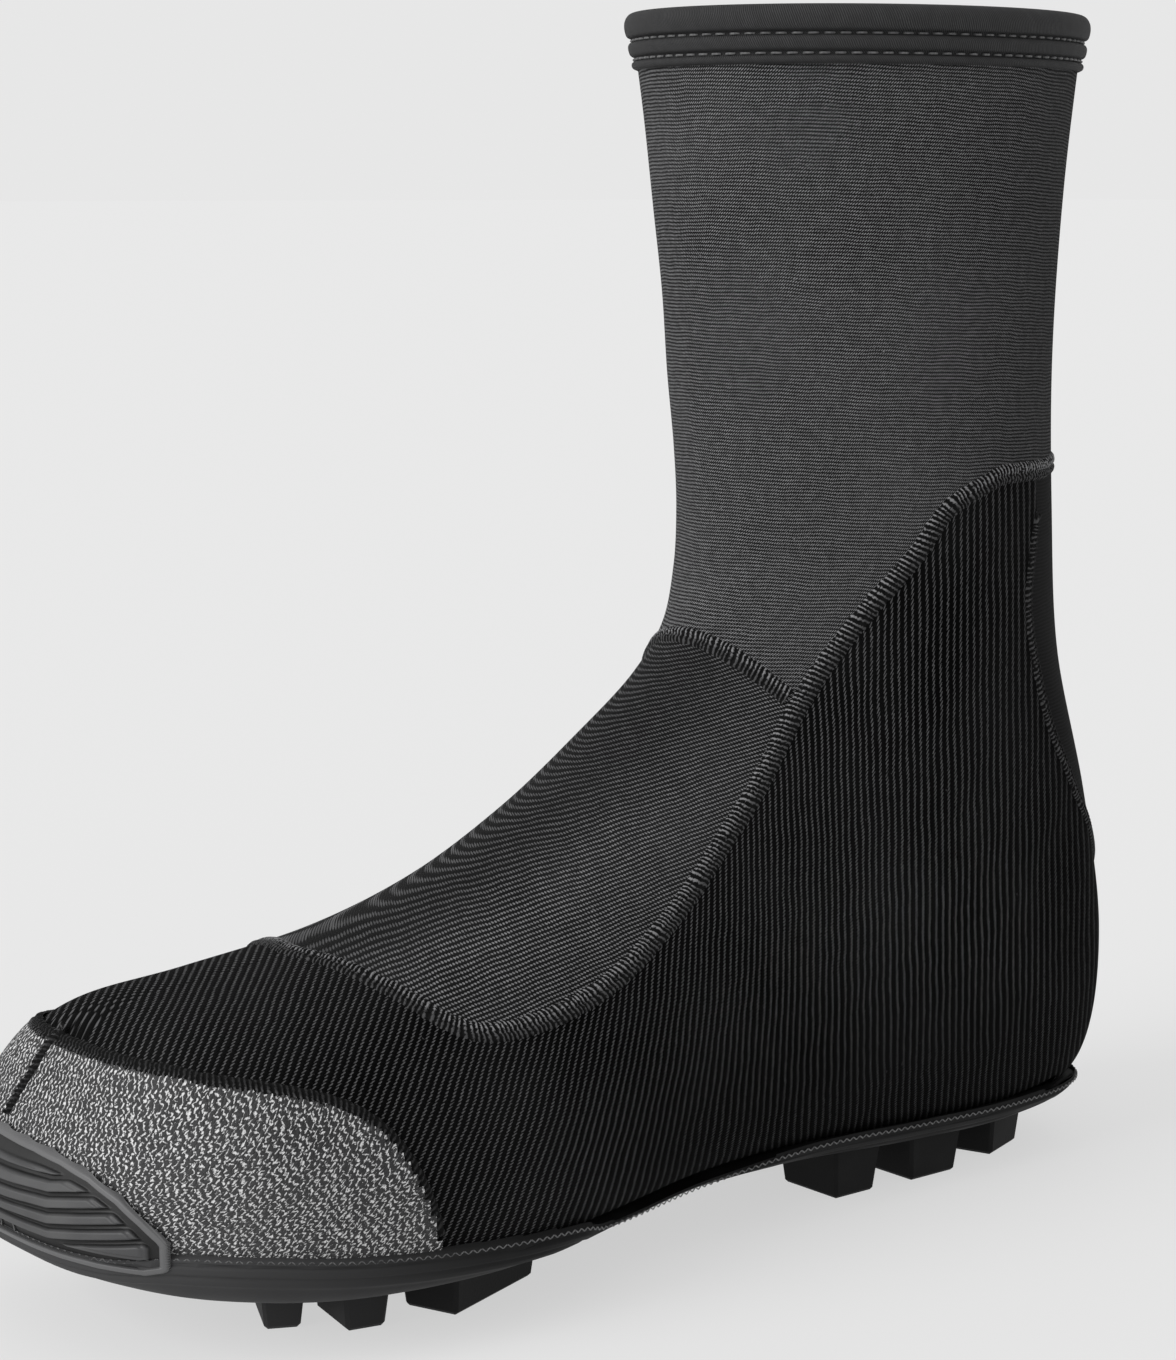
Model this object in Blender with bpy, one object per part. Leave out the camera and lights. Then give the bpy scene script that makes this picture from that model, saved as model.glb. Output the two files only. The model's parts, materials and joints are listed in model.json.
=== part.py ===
"""Cycling overshoe for the left foot, modelled as an assembly of separate solids.

Units are metres and +Z is up. The toe points to -Y and the outer side of the foot to +X.
The shoe stands on its lugs, and the origin is on the floor under the middle of its bounding box.

Every piece of cloth or rubber lies on one surface, the skin of the upper. A place on the skin is
a station, counted in rows of the section tables from the toe tip to the collar, and a turn, the
angle round the section: 0 under the sole or down the back, 90 on the outer side, 180 on the ridge.
"""

import math
from typing import NamedTuple

import bmesh
import bpy
import numpy as np
from mathutils import Vector
from mathutils.bvhtree import BVHTree

# Main sizes of the upper
FOOT_LENGTH = 0.3075
BALL_WIDTH = 0.107
HEEL_WIDTH = 0.090
FOOT_RISE = 0.135
SHAFT_RISE = 0.1437
SHAFT_DEPTH = 0.122
SHAFT_WIDTH = 0.0998
SHAFT_SETBACK = 0.070
WALL = 0.0030

# Sizes of the sole
LUG_DEPTH = 0.0088
PLATE_THICKNESS = 0.0022
RAND_BAND = 0.0055
RAND_BULGE = 0.0008
RAND_OVERLAP = 0.0064
LUG_DRAFT = 0.0018
LUG_BEVEL = 0.0008
CLEAT_LENGTH = 0.064
CLEAT_WIDTH = 0.030
CLEAT_PLACE = 0.27
BOTTOM_MARGIN = 0.014

# Sizes of the trim
BINDING_HEIGHT = 0.0122
BINDING_THICKNESS = 0.0012
SEAM_WIDTH = 0.0050
SEAM_HEIGHT = 0.0011
TOE_CAP_THICKNESS = 0.0012
BUMPER_BASE = 0.0010
BUMPER_RELIEF = 0.0014
BUMPER_RIM = 0.0018
BUMPER_HEIGHT = 0.0202
BUMPER_FOOT = 0.0264
BUMPER_GROOVE = 0.0013
BUMPER_CHAMFER = 0.0003
BUMPER_RADIUS = 0.044
BUMPER_SPREAD = 62.5
BUMPER_TURN = -13.0
BUMPER_ACROSS = -0.112
BUMPER_ALONG = 0.1626
BUMPER_COLUMNS = 18

# Clearance between touching pieces, and the gap from a cutter to what it must leave alone
GAP = 0.0003
SOLE_GAP = 0.0004
SOLE_HEIGHT = LUG_DEPTH + PLATE_THICKNESS + GAP

# Fineness of the faceted skin
TURNS = 32
STATION_SPANS = ((0.0, 2.0, 5), (2.0, 9.0, 14), (9.0, 10.5, 5), (10.5, 18.0, 16))
SEAM_STEP = 0.0068
LINE_POINTS = 26
FLATNESS = 2.0


class FootSection(NamedTuple):
    """A section through the foot, from its base on the sole or heel to its crown on the ridge.

    base_along, crown_along: shares of FOOT_LENGTH from the toe tip.
    base_rise, crown_rise: 0 at the sole, 1 at the ankle, 2 at the collar.
    half: share of half the width of the foot there.
    sway: share of BALL_WIDTH that the middle lies to the outer side.
    low, high: squareness of the lower and upper half, 2 being an ellipse.
    widest: share of the height where the section is widest.
    """

    base_along: float
    base_rise: float
    crown_along: float
    crown_rise: float
    half: float
    sway: float
    low: float
    high: float
    widest: float


class ShaftSection(NamedTuple):
    """A ring of the shaft.

    back_rise, front_rise: 1 at the ankle, 2 at the collar.
    back, front: shares of half SHAFT_DEPTH from the shaft's axis.
    half: share of half SHAFT_WIDTH.
    square: squareness of the ring, 2 being an ellipse.
    """

    back_rise: float
    front_rise: float
    back: float
    front: float
    half: float
    square: float


FOOT_SECTIONS = (
    FootSection(0.000, 0.146, 0.003, 0.213, 0.187, -0.121, 2.2, 2.2, 0.50),
    FootSection(0.010, 0.087, 0.029, 0.316, 0.505, -0.112, 3.2, 2.3, 0.44),
    FootSection(0.034, 0.057, 0.052, 0.398, 0.710, -0.084, 4.2, 2.3, 0.42),
    FootSection(0.085, 0.031, 0.088, 0.457, 0.869, -0.047, 5.0, 2.2, 0.40),
    FootSection(0.169, 0.011, 0.163, 0.487, 0.963, -0.009, 5.4, 2.1, 0.36),
    FootSection(0.280, 0.013, 0.270, 0.531, 1.000, 0.019, 5.4, 2.0, 0.34),
    FootSection(0.390, 0.035, 0.359, 0.605, 0.958, 0.028, 5.2, 1.9, 0.34),
    FootSection(0.501, 0.046, 0.441, 0.705, 0.917, 0.019, 5.0, 1.9, 0.36),
    FootSection(0.618, 0.031, 0.512, 0.813, 0.923, 0.000, 4.8, 1.9, 0.37),
    FootSection(0.741, 0.009, 0.569, 0.920, 0.958, 0.000, 4.8, 1.9, 0.39),
    FootSection(0.859, 0.000, 0.603, 1.022, 1.000, 0.000, 4.4, 1.95, 0.41),
    FootSection(0.959, 0.035, 0.613, 1.130, 1.010, 0.000, 3.4, 2.0, 0.42),
    FootSection(1.000, 0.235, 0.613, 1.235, 1.000, 0.000, 2.6, 2.0, 0.43),
    FootSection(0.992, 0.494, 0.610, 1.339, 0.973, 0.000, 2.3, 2.0, 0.46),
)

SHAFT_SECTIONS = (
    ShaftSection(0.790, 1.457, 0.992, 0.844, 0.858, 2.0),
    ShaftSection(1.095, 1.582, 0.933, 0.872, 0.854, 2.0),
    ShaftSection(1.388, 1.708, 0.903, 0.910, 0.880, 2.0),
    ShaftSection(1.694, 1.854, 0.925, 0.947, 0.936, 2.0),
    ShaftSection(2.000, 2.000, 1.000, 1.000, 1.000, 2.0),
)

LAST_STATION = len(FOOT_SECTIONS) + len(SHAFT_SECTIONS) - 1
BALL_ALONG, HEEL_ALONG = 0.28, 0.86
TOE_Y = -0.150
HEEL_Y = TOE_Y + FOOT_LENGTH
SHAFT_Y = HEEL_Y - SHAFT_SETBACK


class SeamPoint(NamedTuple):
    """A place that a seam runs through: its station and its turn in degrees."""

    station: float
    turn: float


# The seam round the instep panel, from the ridge of the vamp up the outer side and round the back
SIDE_SEAM = (
    SeamPoint(4.45, 180),
    SeamPoint(4.53, 166),
    SeamPoint(4.66, 150),
    SeamPoint(4.95, 131),
    SeamPoint(5.55, 124),
    SeamPoint(6.40, 122),
    SeamPoint(7.20, 125),
    SeamPoint(8.25, 132),
    SeamPoint(9.68, 140),
    SeamPoint(11.08, 136),
    SeamPoint(12.40, 125),
    SeamPoint(13.68, 107),
    SeamPoint(14.50, 87),
    SeamPoint(14.80, 75),
    SeamPoint(15.05, 60),
    SeamPoint(15.30, 40),
    SeamPoint(15.42, 20),
    SeamPoint(15.46, 5),
)

# Half of the seam over the front of the ankle
INSTEP_SEAM = (SeamPoint(9.40, 180), SeamPoint(9.46, 166), SeamPoint(9.55, 153), SeamPoint(9.64, 145))

# The seam up the back of the shaft, from the side seams to the binding
CENTRE_SEAM = (SeamPoint(15.62, 0), SeamPoint(16.30, 0), SeamPoint(17.00, 0), SeamPoint(17.62, 0))

# The outer edge of the smooth back panel, from under the side seam down to the middle of the heel
BACK_SEAM = (
    SeamPoint(14.70, 63),
    SeamPoint(14.30, 68),
    SeamPoint(13.60, 76),
    SeamPoint(13.00, 76),
    SeamPoint(12.75, 66),
    SeamPoint(12.65, 40),
    SeamPoint(12.65, 0),
)


class ProfilePoint(NamedTuple):
    """A point of a line seen from the side: share of FOOT_LENGTH, and rise as in the sections."""

    along: float
    rise: float


# The top edge of the rubber rand. It sinks to the plate under the arch.
RAND_LINE = (
    ProfilePoint(-0.060, 0.101),
    ProfilePoint(0.000, 0.103),
    ProfilePoint(0.020, 0.111),
    ProfilePoint(0.040, 0.120),
    ProfilePoint(0.085, 0.114),
    ProfilePoint(0.145, 0.098),
    ProfilePoint(0.210, 0.086),
    ProfilePoint(0.280, 0.078),
    ProfilePoint(0.340, 0.068),
    ProfilePoint(0.375, 0.048),
    ProfilePoint(0.440, 0.047),
    ProfilePoint(0.500, 0.051),
    ProfilePoint(0.570, 0.062),
    ProfilePoint(0.640, 0.063),
    ProfilePoint(0.720, 0.056),
    ProfilePoint(0.800, 0.050),
    ProfilePoint(0.900, 0.046),
    ProfilePoint(1.060, 0.046),
)

# The top and back edge of the toe cap
TOE_CAP_LINE = (
    ProfilePoint(-0.060, 0.384),
    ProfilePoint(0.050, 0.384),
    ProfilePoint(0.075, 0.376),
    ProfilePoint(0.105, 0.364),
    ProfilePoint(0.145, 0.338),
    ProfilePoint(0.170, 0.304),
    ProfilePoint(0.187, 0.255),
    ProfilePoint(0.203, 0.180),
    ProfilePoint(0.213, 0.105),
    ProfilePoint(0.214, 0.040),
)


# Half of the bumper's outline: share of its spread, with the shares of its height below and above
BUMPER_SHAPE = (
    (0.13, 0.00, 1.00),
    (0.38, 0.00, 0.97),
    (0.54, 0.00, 0.92),
    (0.69, 0.00, 0.82),
    (0.82, 0.00, 0.65),
    (0.91, 0.00, 0.46),
    (0.98, 0.05, 0.28),
    (1.00, 0.13, 0.17),
)

# Heights of the grooves between the bumper's bars, as shares of its height
BUMPER_GROOVES = (0.17, 0.34, 0.51, 0.675, 0.81)


class Lug(NamedTuple):
    """A tread lug: the middle and size of its foot on the floor, as shares of the sole's sizes.

    along, length: shares of FOOT_LENGTH. across, width: shares of BALL_WIDTH.
    skew: degrees that the lug is turned, towards the waist when it is positive.
    """

    along: float
    across: float
    length: float
    width: float
    skew: float


LUGS = (
    Lug(0.167, 0.120, 0.026, 0.150, -26),
    Lug(0.209, 0.205, 0.030, 0.185, -12),
    Lug(0.309, 0.240, 0.104, 0.130, 20),
    Lug(0.167, -0.180, 0.026, 0.150, 24),
    Lug(0.209, -0.245, 0.030, 0.185, 10),
    Lug(0.309, -0.240, 0.104, 0.130, -18),
    Lug(0.691, 0.190, 0.043, 0.180, 0),
    Lug(0.777, 0.200, 0.051, 0.180, 0),
    Lug(0.868, 0.155, 0.051, 0.180, 20),
    Lug(0.691, -0.190, 0.043, 0.180, 0),
    Lug(0.777, -0.200, 0.051, 0.180, 0),
    Lug(0.868, -0.155, 0.051, 0.180, -20),
)


def along_to_y(along):
    """The Y of a share of the foot's length."""
    return TOE_Y + FOOT_LENGTH * np.asarray(along, float)


def rise_to_z(rise):
    """The height of a rise: 0 at the sole, 1 at the ankle, 2 at the collar."""
    rise = np.asarray(rise, float)
    return SOLE_HEIGHT + FOOT_RISE * np.minimum(rise, 1) + SHAFT_RISE * np.maximum(rise - 1, 0)


def foot_width(along):
    """The width that the foot sections take their share of: the ball's, then the heel's."""
    share = np.clip((along - BALL_ALONG) / (HEEL_ALONG - BALL_ALONG), 0, 1)
    blend = share * share * (3 - 2 * share)
    return BALL_WIDTH + (HEEL_WIDTH - BALL_WIDTH) * blend


def section_rows():
    """Both tables in metres, one row a section: base y, z, crown y, z, half width, middle, shape."""
    rows = []
    for s in FOOT_SECTIONS:
        rows.append(
            (
                along_to_y(s.base_along),
                rise_to_z(s.base_rise),
                along_to_y(s.crown_along),
                rise_to_z(s.crown_rise),
                s.half * foot_width(s.base_along) / 2,
                s.sway * BALL_WIDTH,
                s.low,
                s.high,
                s.widest,
            )
        )
    for s in SHAFT_SECTIONS:
        rows.append(
            (
                SHAFT_Y + s.back * SHAFT_DEPTH / 2,
                rise_to_z(s.back_rise),
                SHAFT_Y - s.front * SHAFT_DEPTH / 2,
                rise_to_z(s.front_rise),
                s.half * SHAFT_WIDTH / 2,
                0.0,
                s.square,
                s.square,
                0.5,
            )
        )
    return np.array(rows, float)


ROWS = section_rows()
SLOPES = np.gradient(ROWS, axis=0)


def section_at(station):
    """The section at each station, on a smooth curve through the rows of the tables."""
    station = np.clip(station, 0, LAST_STATION)
    row = np.minimum(np.floor(station).astype(int), LAST_STATION - 1)
    f = (station - row)[..., None]
    return (
        (2 * f**3 - 3 * f**2 + 1) * ROWS[row]
        + (f**3 - 2 * f**2 + f) * SLOPES[row]
        + (3 * f**2 - 2 * f**3) * ROWS[row + 1]
        + (f**3 - f**2) * SLOPES[row + 1]
    )


def bare_skin(station, turn):
    """Points of the skin itself, at stations and turns in radians."""
    base_y, base_z, crown_y, crown_z, half, middle, low, high, widest = np.moveaxis(
        section_at(station), -1, 0
    )
    across, down = np.sin(turn), np.cos(turn)
    square = np.where(down > 0, low, high)
    size = (np.abs(across) ** square + np.abs(down) ** square) ** (-1 / square)
    reach = np.where(down > 0, widest, 1 - widest)
    up = widest - reach * down * size
    return np.stack(
        [
            middle + half * across * size,
            base_y + (crown_y - base_y) * up,
            base_z + (crown_z - base_z) * up,
        ],
        axis=-1,
    )


def skin_frame(station, turn):
    """Point, outward normal and the two tangents of the skin, per unit of station and of turn."""
    step = 2e-3
    place = bare_skin(station, turn)
    before = np.clip(station - step, 0, LAST_STATION)
    after = np.clip(station + step, 0, LAST_STATION)
    by_station = (bare_skin(after, turn) - bare_skin(before, turn)) / (after - before)[..., None]
    by_turn = (bare_skin(station, turn + step) - bare_skin(station, turn - step)) / (2 * step)
    normal = np.cross(by_station, by_turn)
    normal /= np.linalg.norm(normal, axis=-1, keepdims=True)
    return place, normal, by_station, by_turn


def skin(station, turn, lift=0.0):
    """Points at a lift outside the skin; a negative lift is inside the wall."""
    station, turn = np.broadcast_arrays(np.asarray(station, float), np.asarray(turn, float))
    place, normal, _, _ = skin_frame(station, turn)
    return place + normal * np.asarray(lift, float)[..., None]


def station_at_height(turn, height, lowest=14.5):
    """The station on the shaft where the skin has this height, for each turn."""
    low = np.full_like(turn, lowest)
    high = np.full_like(turn, float(LAST_STATION))
    for _ in range(40):
        middle = (low + high) / 2
        below = bare_skin(middle, turn)[..., 2] < height
        low = np.where(below, middle, low)
        high = np.where(below, high, middle)
    return (low + high) / 2


def stations():
    """The stations of the faceted skin, closest round the toe and the front of the ankle."""
    spans = [np.linspace(first, last, count, endpoint=False) for first, last, count in STATION_SPANS]
    return np.concatenate(spans + [[LAST_STATION]])


def turns():
    """The turns of the faceted skin."""
    return np.linspace(0, 2 * math.pi, TURNS, endpoint=False)


def skin_rings(lift):
    """Rings of points at one lift, as an array of station, turn, coordinate. The top one is level."""
    rings = skin(stations()[:, None], turns()[None, :], lift)
    rings[-1, :, 2] = rise_to_z(2.0)
    return rings


def material(name, colour, roughness, metallic=0.0):
    """A plain Principled material."""
    made = bpy.data.materials.new(name)
    made.use_nodes = True
    shader = made.node_tree.nodes["Principled BSDF"]
    shader.inputs["Base Color"].default_value = (*colour, 1.0)
    shader.inputs["Roughness"].default_value = roughness
    shader.inputs["Metallic"].default_value = metallic
    made.diffuse_color = (*colour, 1.0)
    return made


def add_object(name, mesh_data, finish=None):
    """Links a new object that holds the bmesh, with its faces pointing out, and frees the bmesh."""
    bmesh.ops.recalc_face_normals(mesh_data, faces=mesh_data.faces)
    mesh = bpy.data.meshes.new(name)
    mesh_data.to_mesh(mesh)
    mesh_data.free()
    made = bpy.data.objects.new(name, mesh)
    bpy.context.scene.collection.objects.link(made)
    if finish is not None:
        mesh.materials.append(finish)
    return made


def ring_faces(mesh_data, rings):
    """Quads between neighbouring rings of vertices, each ring closed on itself."""
    for near, far in zip(rings, rings[1:]):
        count = len(near)
        for k in range(count):
            nxt = (k + 1) % count
            mesh_data.faces.new((near[k], near[nxt], far[nxt], far[k]))


def toe_fan(mesh_data, ring):
    """Closes the first ring of a skin over the toe tip, with a point a little ahead of it."""
    middle = sum((v.co for v in ring), Vector()) / len(ring)
    tip = mesh_data.verts.new(middle + Vector((0, -(ring[0].co - middle).length * 0.12, 0)))
    for k, vertex in enumerate(ring):
        mesh_data.faces.new((tip, vertex, ring[(k + 1) % len(ring)]))


def skin_form(name, lift):
    """A closed block with the outside shape of the upper at this lift, used to cut overlays."""
    mesh_data = bmesh.new()
    rings = [[mesh_data.verts.new(p) for p in ring] for ring in skin_rings(lift)]
    ring_faces(mesh_data, rings)
    toe_fan(mesh_data, rings[0])
    mesh_data.faces.new(rings[-1])
    return add_object(name, mesh_data)


def prisms(name, outlines, axis, start, end):
    """Blocks with these outlines of 2-D points, pushed from start to end along axis 0, 1 or 2."""
    mesh_data = bmesh.new()
    for outline in outlines:
        ends = []
        for level in (start, end):
            corners = []
            for a, b in outline:
                place = [a, b]
                place.insert(axis, level)
                corners.append(mesh_data.verts.new(place))
            ends.append(corners)
        mesh_data.faces.new(ends[0])
        mesh_data.faces.new(ends[1])
        ring_faces(mesh_data, ends)
    return add_object(name, mesh_data)


def combine(target, operation, *others):
    """Joins or cuts the target with other objects, which are then removed."""
    for other in others:
        step = target.modifiers.new(operation.lower(), "BOOLEAN")
        step.operation = operation
        step.solver = "EXACT"
        step.object = other
        graph = bpy.context.evaluated_depsgraph_get()
        result = bpy.data.meshes.new_from_object(target.evaluated_get(graph))
        target.modifiers.clear()
        old = target.data
        target.data = result
        bpy.data.meshes.remove(old)
        bpy.data.objects.remove(other)
    return target


def smooth(made, degrees=40):
    """Shades an object smooth, apart from edges sharper than this."""
    made.data.shade_smooth()
    made.data.set_sharp_from_angle(angle=math.radians(degrees))
    return made


def simplified(made, degrees):
    """Merges neighbouring faces that are flat to within this angle, then splits them again."""
    mesh_data = bmesh.new()
    mesh_data.from_mesh(made.data)
    bmesh.ops.dissolve_limit(
        mesh_data,
        angle_limit=math.radians(degrees),
        use_dissolve_boundaries=False,
        verts=mesh_data.verts,
        edges=mesh_data.edges,
        delimit=set(),
    )
    bmesh.ops.triangulate(mesh_data, faces=mesh_data.faces)
    mesh_data.to_mesh(made.data)
    mesh_data.free()
    return made


def finished(made, finish):
    """Gives a piece its one material and smooth shading."""
    made.data.materials.clear()
    made.data.materials.append(finish)
    return smooth(made)


def smooth_line(points, count):
    """Points evenly spread by number on a smooth curve through these points."""
    points = np.array(points, float)
    slopes = np.gradient(points, axis=0)
    place = np.linspace(0, len(points) - 1, count)
    row = np.minimum(place.astype(int), len(points) - 2)
    f = (place - row)[:, None]
    return (
        (2 * f**3 - 3 * f**2 + 1) * points[row]
        + (f**3 - 2 * f**2 + f) * slopes[row]
        + (3 * f**2 - 2 * f**3) * points[row + 1]
        + (f**3 - f**2) * slopes[row + 1]
    )


def side_view_line(profile, count):
    """A profile as smooth points of y and z, in metres."""
    line = smooth_line(profile, count)
    return np.stack([along_to_y(line[:, 0]), rise_to_z(line[:, 1])], axis=1)


def under_line(name, line, drop=0.0, depth=None):
    """A block across the shoe below a side-view line: all of it, or only a band of some depth."""
    top = [(y, z - drop) for y, z in line]
    if depth is None:
        floor = -SOLE_HEIGHT
        bottom = [(line[-1][0], floor), (line[0][0], floor)]
    else:
        bottom = [(y, z - drop - depth) for y, z in reversed(list(line))]
    return prisms(name, [top + bottom], 0, -BALL_WIDTH, BALL_WIDTH)


def plan_outline(inset, first, last, count):
    """The foot's outline seen from above, moved in by an inset, between two stations."""
    rows = section_at(np.linspace(first, last, count))
    outer = [(r[5] + r[4] - inset, r[0]) for r in rows]
    inner = [(r[5] - r[4] + inset, r[0]) for r in reversed(rows)]
    return outer + inner


def make_upper(finish):
    """The knitted bootee: one wall from the toe to the collar, open at the collar and underneath."""
    mesh_data = bmesh.new()
    outer = [[mesh_data.verts.new(p) for p in ring] for ring in skin_rings(0.0)]
    inner = [[mesh_data.verts.new(p) for p in ring] for ring in skin_rings(-WALL)]
    for rings in (outer, inner):
        ring_faces(mesh_data, rings)
        toe_fan(mesh_data, rings[0])
    ring_faces(mesh_data, [outer[-1], inner[-1]])
    upper = add_object("upper", mesh_data)
    first, last = 3.1, 10.2
    opening = plan_outline(BOTTOM_MARGIN, first, last, 15)
    top = float(ROWS[4:10, 1].max()) + WALL + 6 * GAP
    combine(upper, "DIFFERENCE", prisms("bottom_cut", [opening], 2, 0.0, top))
    return finished(upper, finish)


def make_binding(finish):
    """The elastic binding folded over the top edge, with a roll and a lip on its outside."""
    top = float(rise_to_z(2.0))
    thick, tall = BINDING_THICKNESS, BINDING_HEIGHT
    outside, inside = GAP, -WALL - GAP
    profile = (
        (outside, -tall),
        (outside + thick, -tall),
        (outside + 1.3 * thick, -0.10 * tall),
        (outside + 0.5 * thick, GAP + 0.9 * thick),
        (inside - 0.3 * thick, GAP + 0.9 * thick),
        (inside - thick, -0.10 * tall),
        (inside - thick, -tall),
        (inside, -tall),
        (inside, GAP),
        (outside, GAP),
    )
    angles = turns()
    mesh_data = bmesh.new()
    loops = []
    for lift, up in profile:
        station = station_at_height(angles, top + min(up, 0.0))
        ring = skin(station, angles, lift)
        ring[:, 2] = top + up
        loops.append([mesh_data.verts.new(p) for p in ring])
    ring_faces(mesh_data, loops + [loops[0]])
    return finished(add_object("collar_binding", mesh_data), finish)


def seam_samples(path):
    """Stations and turns in radians along a seam, about SEAM_STEP apart on the skin."""
    fine = smooth_line([(p.station, math.radians(p.turn)) for p in path], 40 * len(path))
    places = bare_skin(fine[:, 0], fine[:, 1])
    run = np.concatenate([[0], np.cumsum(np.linalg.norm(np.diff(places, axis=0), axis=1))])
    count = max(4, int(round(run[-1] / SEAM_STEP)) + 1)
    at = np.linspace(0, run[-1], count)
    return np.interp(at, run, fine[:, 0]), np.interp(at, run, fine[:, 1])


def make_seam(name, path, finish, width=SEAM_WIDTH):
    """A raised flat seam along a path on the skin, lying GAP above it."""
    station, turn = seam_samples(path)
    place, normal, by_station, by_turn = skin_frame(station, turn)
    ahead = np.gradient(place, axis=0)
    aside = np.cross(normal, ahead)
    aside /= np.linalg.norm(aside, axis=1, keepdims=True)
    shift = []
    for a, b, s in zip(by_station, by_turn, aside):
        shift.append(np.linalg.lstsq(np.stack([a, b], axis=1), s, rcond=None)[0])
    shift = np.array(shift)
    profile = ((-0.5, 0.0), (0.5, 0.0), (0.5, 0.4), (0.0, 1.0), (-0.5, 0.4))
    rows = [
        skin(station + shift[:, 0] * a * width, turn + shift[:, 1] * a * width, GAP + h * SEAM_HEIGHT)
        for a, h in profile
    ]
    mesh_data = bmesh.new()
    rings = [[mesh_data.verts.new(row[k]) for row in rows] for k in range(len(station))]
    ring_faces(mesh_data, rings)
    mesh_data.faces.new(rings[0])
    mesh_data.faces.new(rings[-1])
    return finished(add_object(name, mesh_data), finish)


def both_sides(path):
    """A path that starts on the middle line, run from its far end on one side to the other's."""
    middle = path[0].turn
    mirrored = [SeamPoint(p.station, 2 * middle - p.turn) for p in path[1:]]
    return list(reversed(path)) + mirrored


def make_toe_cap(finish):
    """The coarse woven cap sewn over the toe, from the rand up to its own seam."""
    cap = skin_form("toe_cap", GAP + TOE_CAP_THICKNESS)
    combine(
        cap,
        "INTERSECT",
        under_line("cap_region", side_view_line(TOE_CAP_LINE, LINE_POINTS - 8)),
    )
    rand = under_line("cap_floor", side_view_line(RAND_LINE, LINE_POINTS), drop=-2 * GAP)
    combine(cap, "DIFFERENCE", rand, skin_form("cap_inside", GAP))
    return finished(simplified(cap, FLATNESS), finish)


def toe_tree(lift):
    """The outside of the upper at this lift, ready to be met by rays."""
    form = skin_form("toe_form", lift)
    tree = BVHTree.FromPolygons(
        [v.co.copy() for v in form.data.vertices], [tuple(p.vertices) for p in form.data.polygons]
    )
    bpy.data.objects.remove(form)
    return tree


def toe_point(tree, turn, height):
    """Where a level ray from the bumper's pivot, turned by this many degrees, leaves the toe."""
    angle = math.radians(turn + BUMPER_TURN)
    origin = Vector((BUMPER_ACROSS * BALL_WIDTH, float(along_to_y(BUMPER_ALONG)), height))
    return tree.ray_cast(origin, Vector((math.sin(angle), -math.cos(angle), 0)))[0]


def bumper_edge(turn, inset):
    """Low and high height of the bumper's outline at a turn, with its edge moved in by an inset."""
    spread = BUMPER_SPREAD - math.degrees(inset / BUMPER_RADIUS)
    shares = [s * spread for s, _, _ in BUMPER_SHAPE]
    tall = BUMPER_HEIGHT - 2 * inset
    low = np.interp(abs(turn), shares, [low for _, low, _ in BUMPER_SHAPE])
    high = np.interp(abs(turn), shares, [high for _, _, high in BUMPER_SHAPE])
    if abs(turn) >= spread:
        low = high = (low + high) / 2
    foot = BUMPER_FOOT + inset
    return foot + low * tall, foot + high * tall


def bumper_profile(turn, floor):
    """The bumper's face at a turn, from the floor of the shield up: heights and reliefs."""
    low, high = bumper_edge(turn, 0.0)
    rim_low, rim_high = bumper_edge(turn, BUMPER_RIM)
    bar_low, bar_high = bumper_edge(turn, 2 * BUMPER_RIM)
    low, rim_low, bar_low = max(low, floor), max(rim_low, floor + 2e-4), max(bar_low, floor + 4e-4)
    step = BUMPER_CHAMFER
    base, top = BUMPER_BASE, BUMPER_BASE + BUMPER_RELIEF
    if rim_high - rim_low < 3 * step:
        return [(low, top), (high, top)]
    points = [(low, top), (rim_low, top), (rim_low + step, base)]
    levels = [BUMPER_FOOT + share * BUMPER_HEIGHT for share in BUMPER_GROOVES]
    starts = [bar_low] + [level + BUMPER_GROOVE / 2 for level in levels]
    ends = [level - BUMPER_GROOVE / 2 for level in levels] + [bar_high]
    for start, end in zip(starts, ends):
        start, end = max(start, rim_low + 2 * step), min(end, bar_high)
        if end - start < 3 * step:
            points += [points[-1]] * 4
        else:
            points += [(start, base), (start + step, top), (end - step, top), (end, base)]
    return points + [(rim_high - step, base), (rim_high, top), (high, top)]


def padded(points, count):
    """The points, with the middle one repeated until there are this many."""
    middle = len(points) // 2
    return points[:middle] + [points[middle]] * (count - len(points)) + points[middle:]


def strip(mesh_data, before, after):
    """Faces between two lines of vertices, in which neighbours may be the same vertex."""
    for k in range(len(before) - 1):
        corners = [before[k], before[k + 1], after[k + 1], after[k]]
        distinct = [v for n, v in enumerate(corners) if v is not corners[n - 1]]
        if len(distinct) > 2:
            mesh_data.faces.new(distinct)


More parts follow.
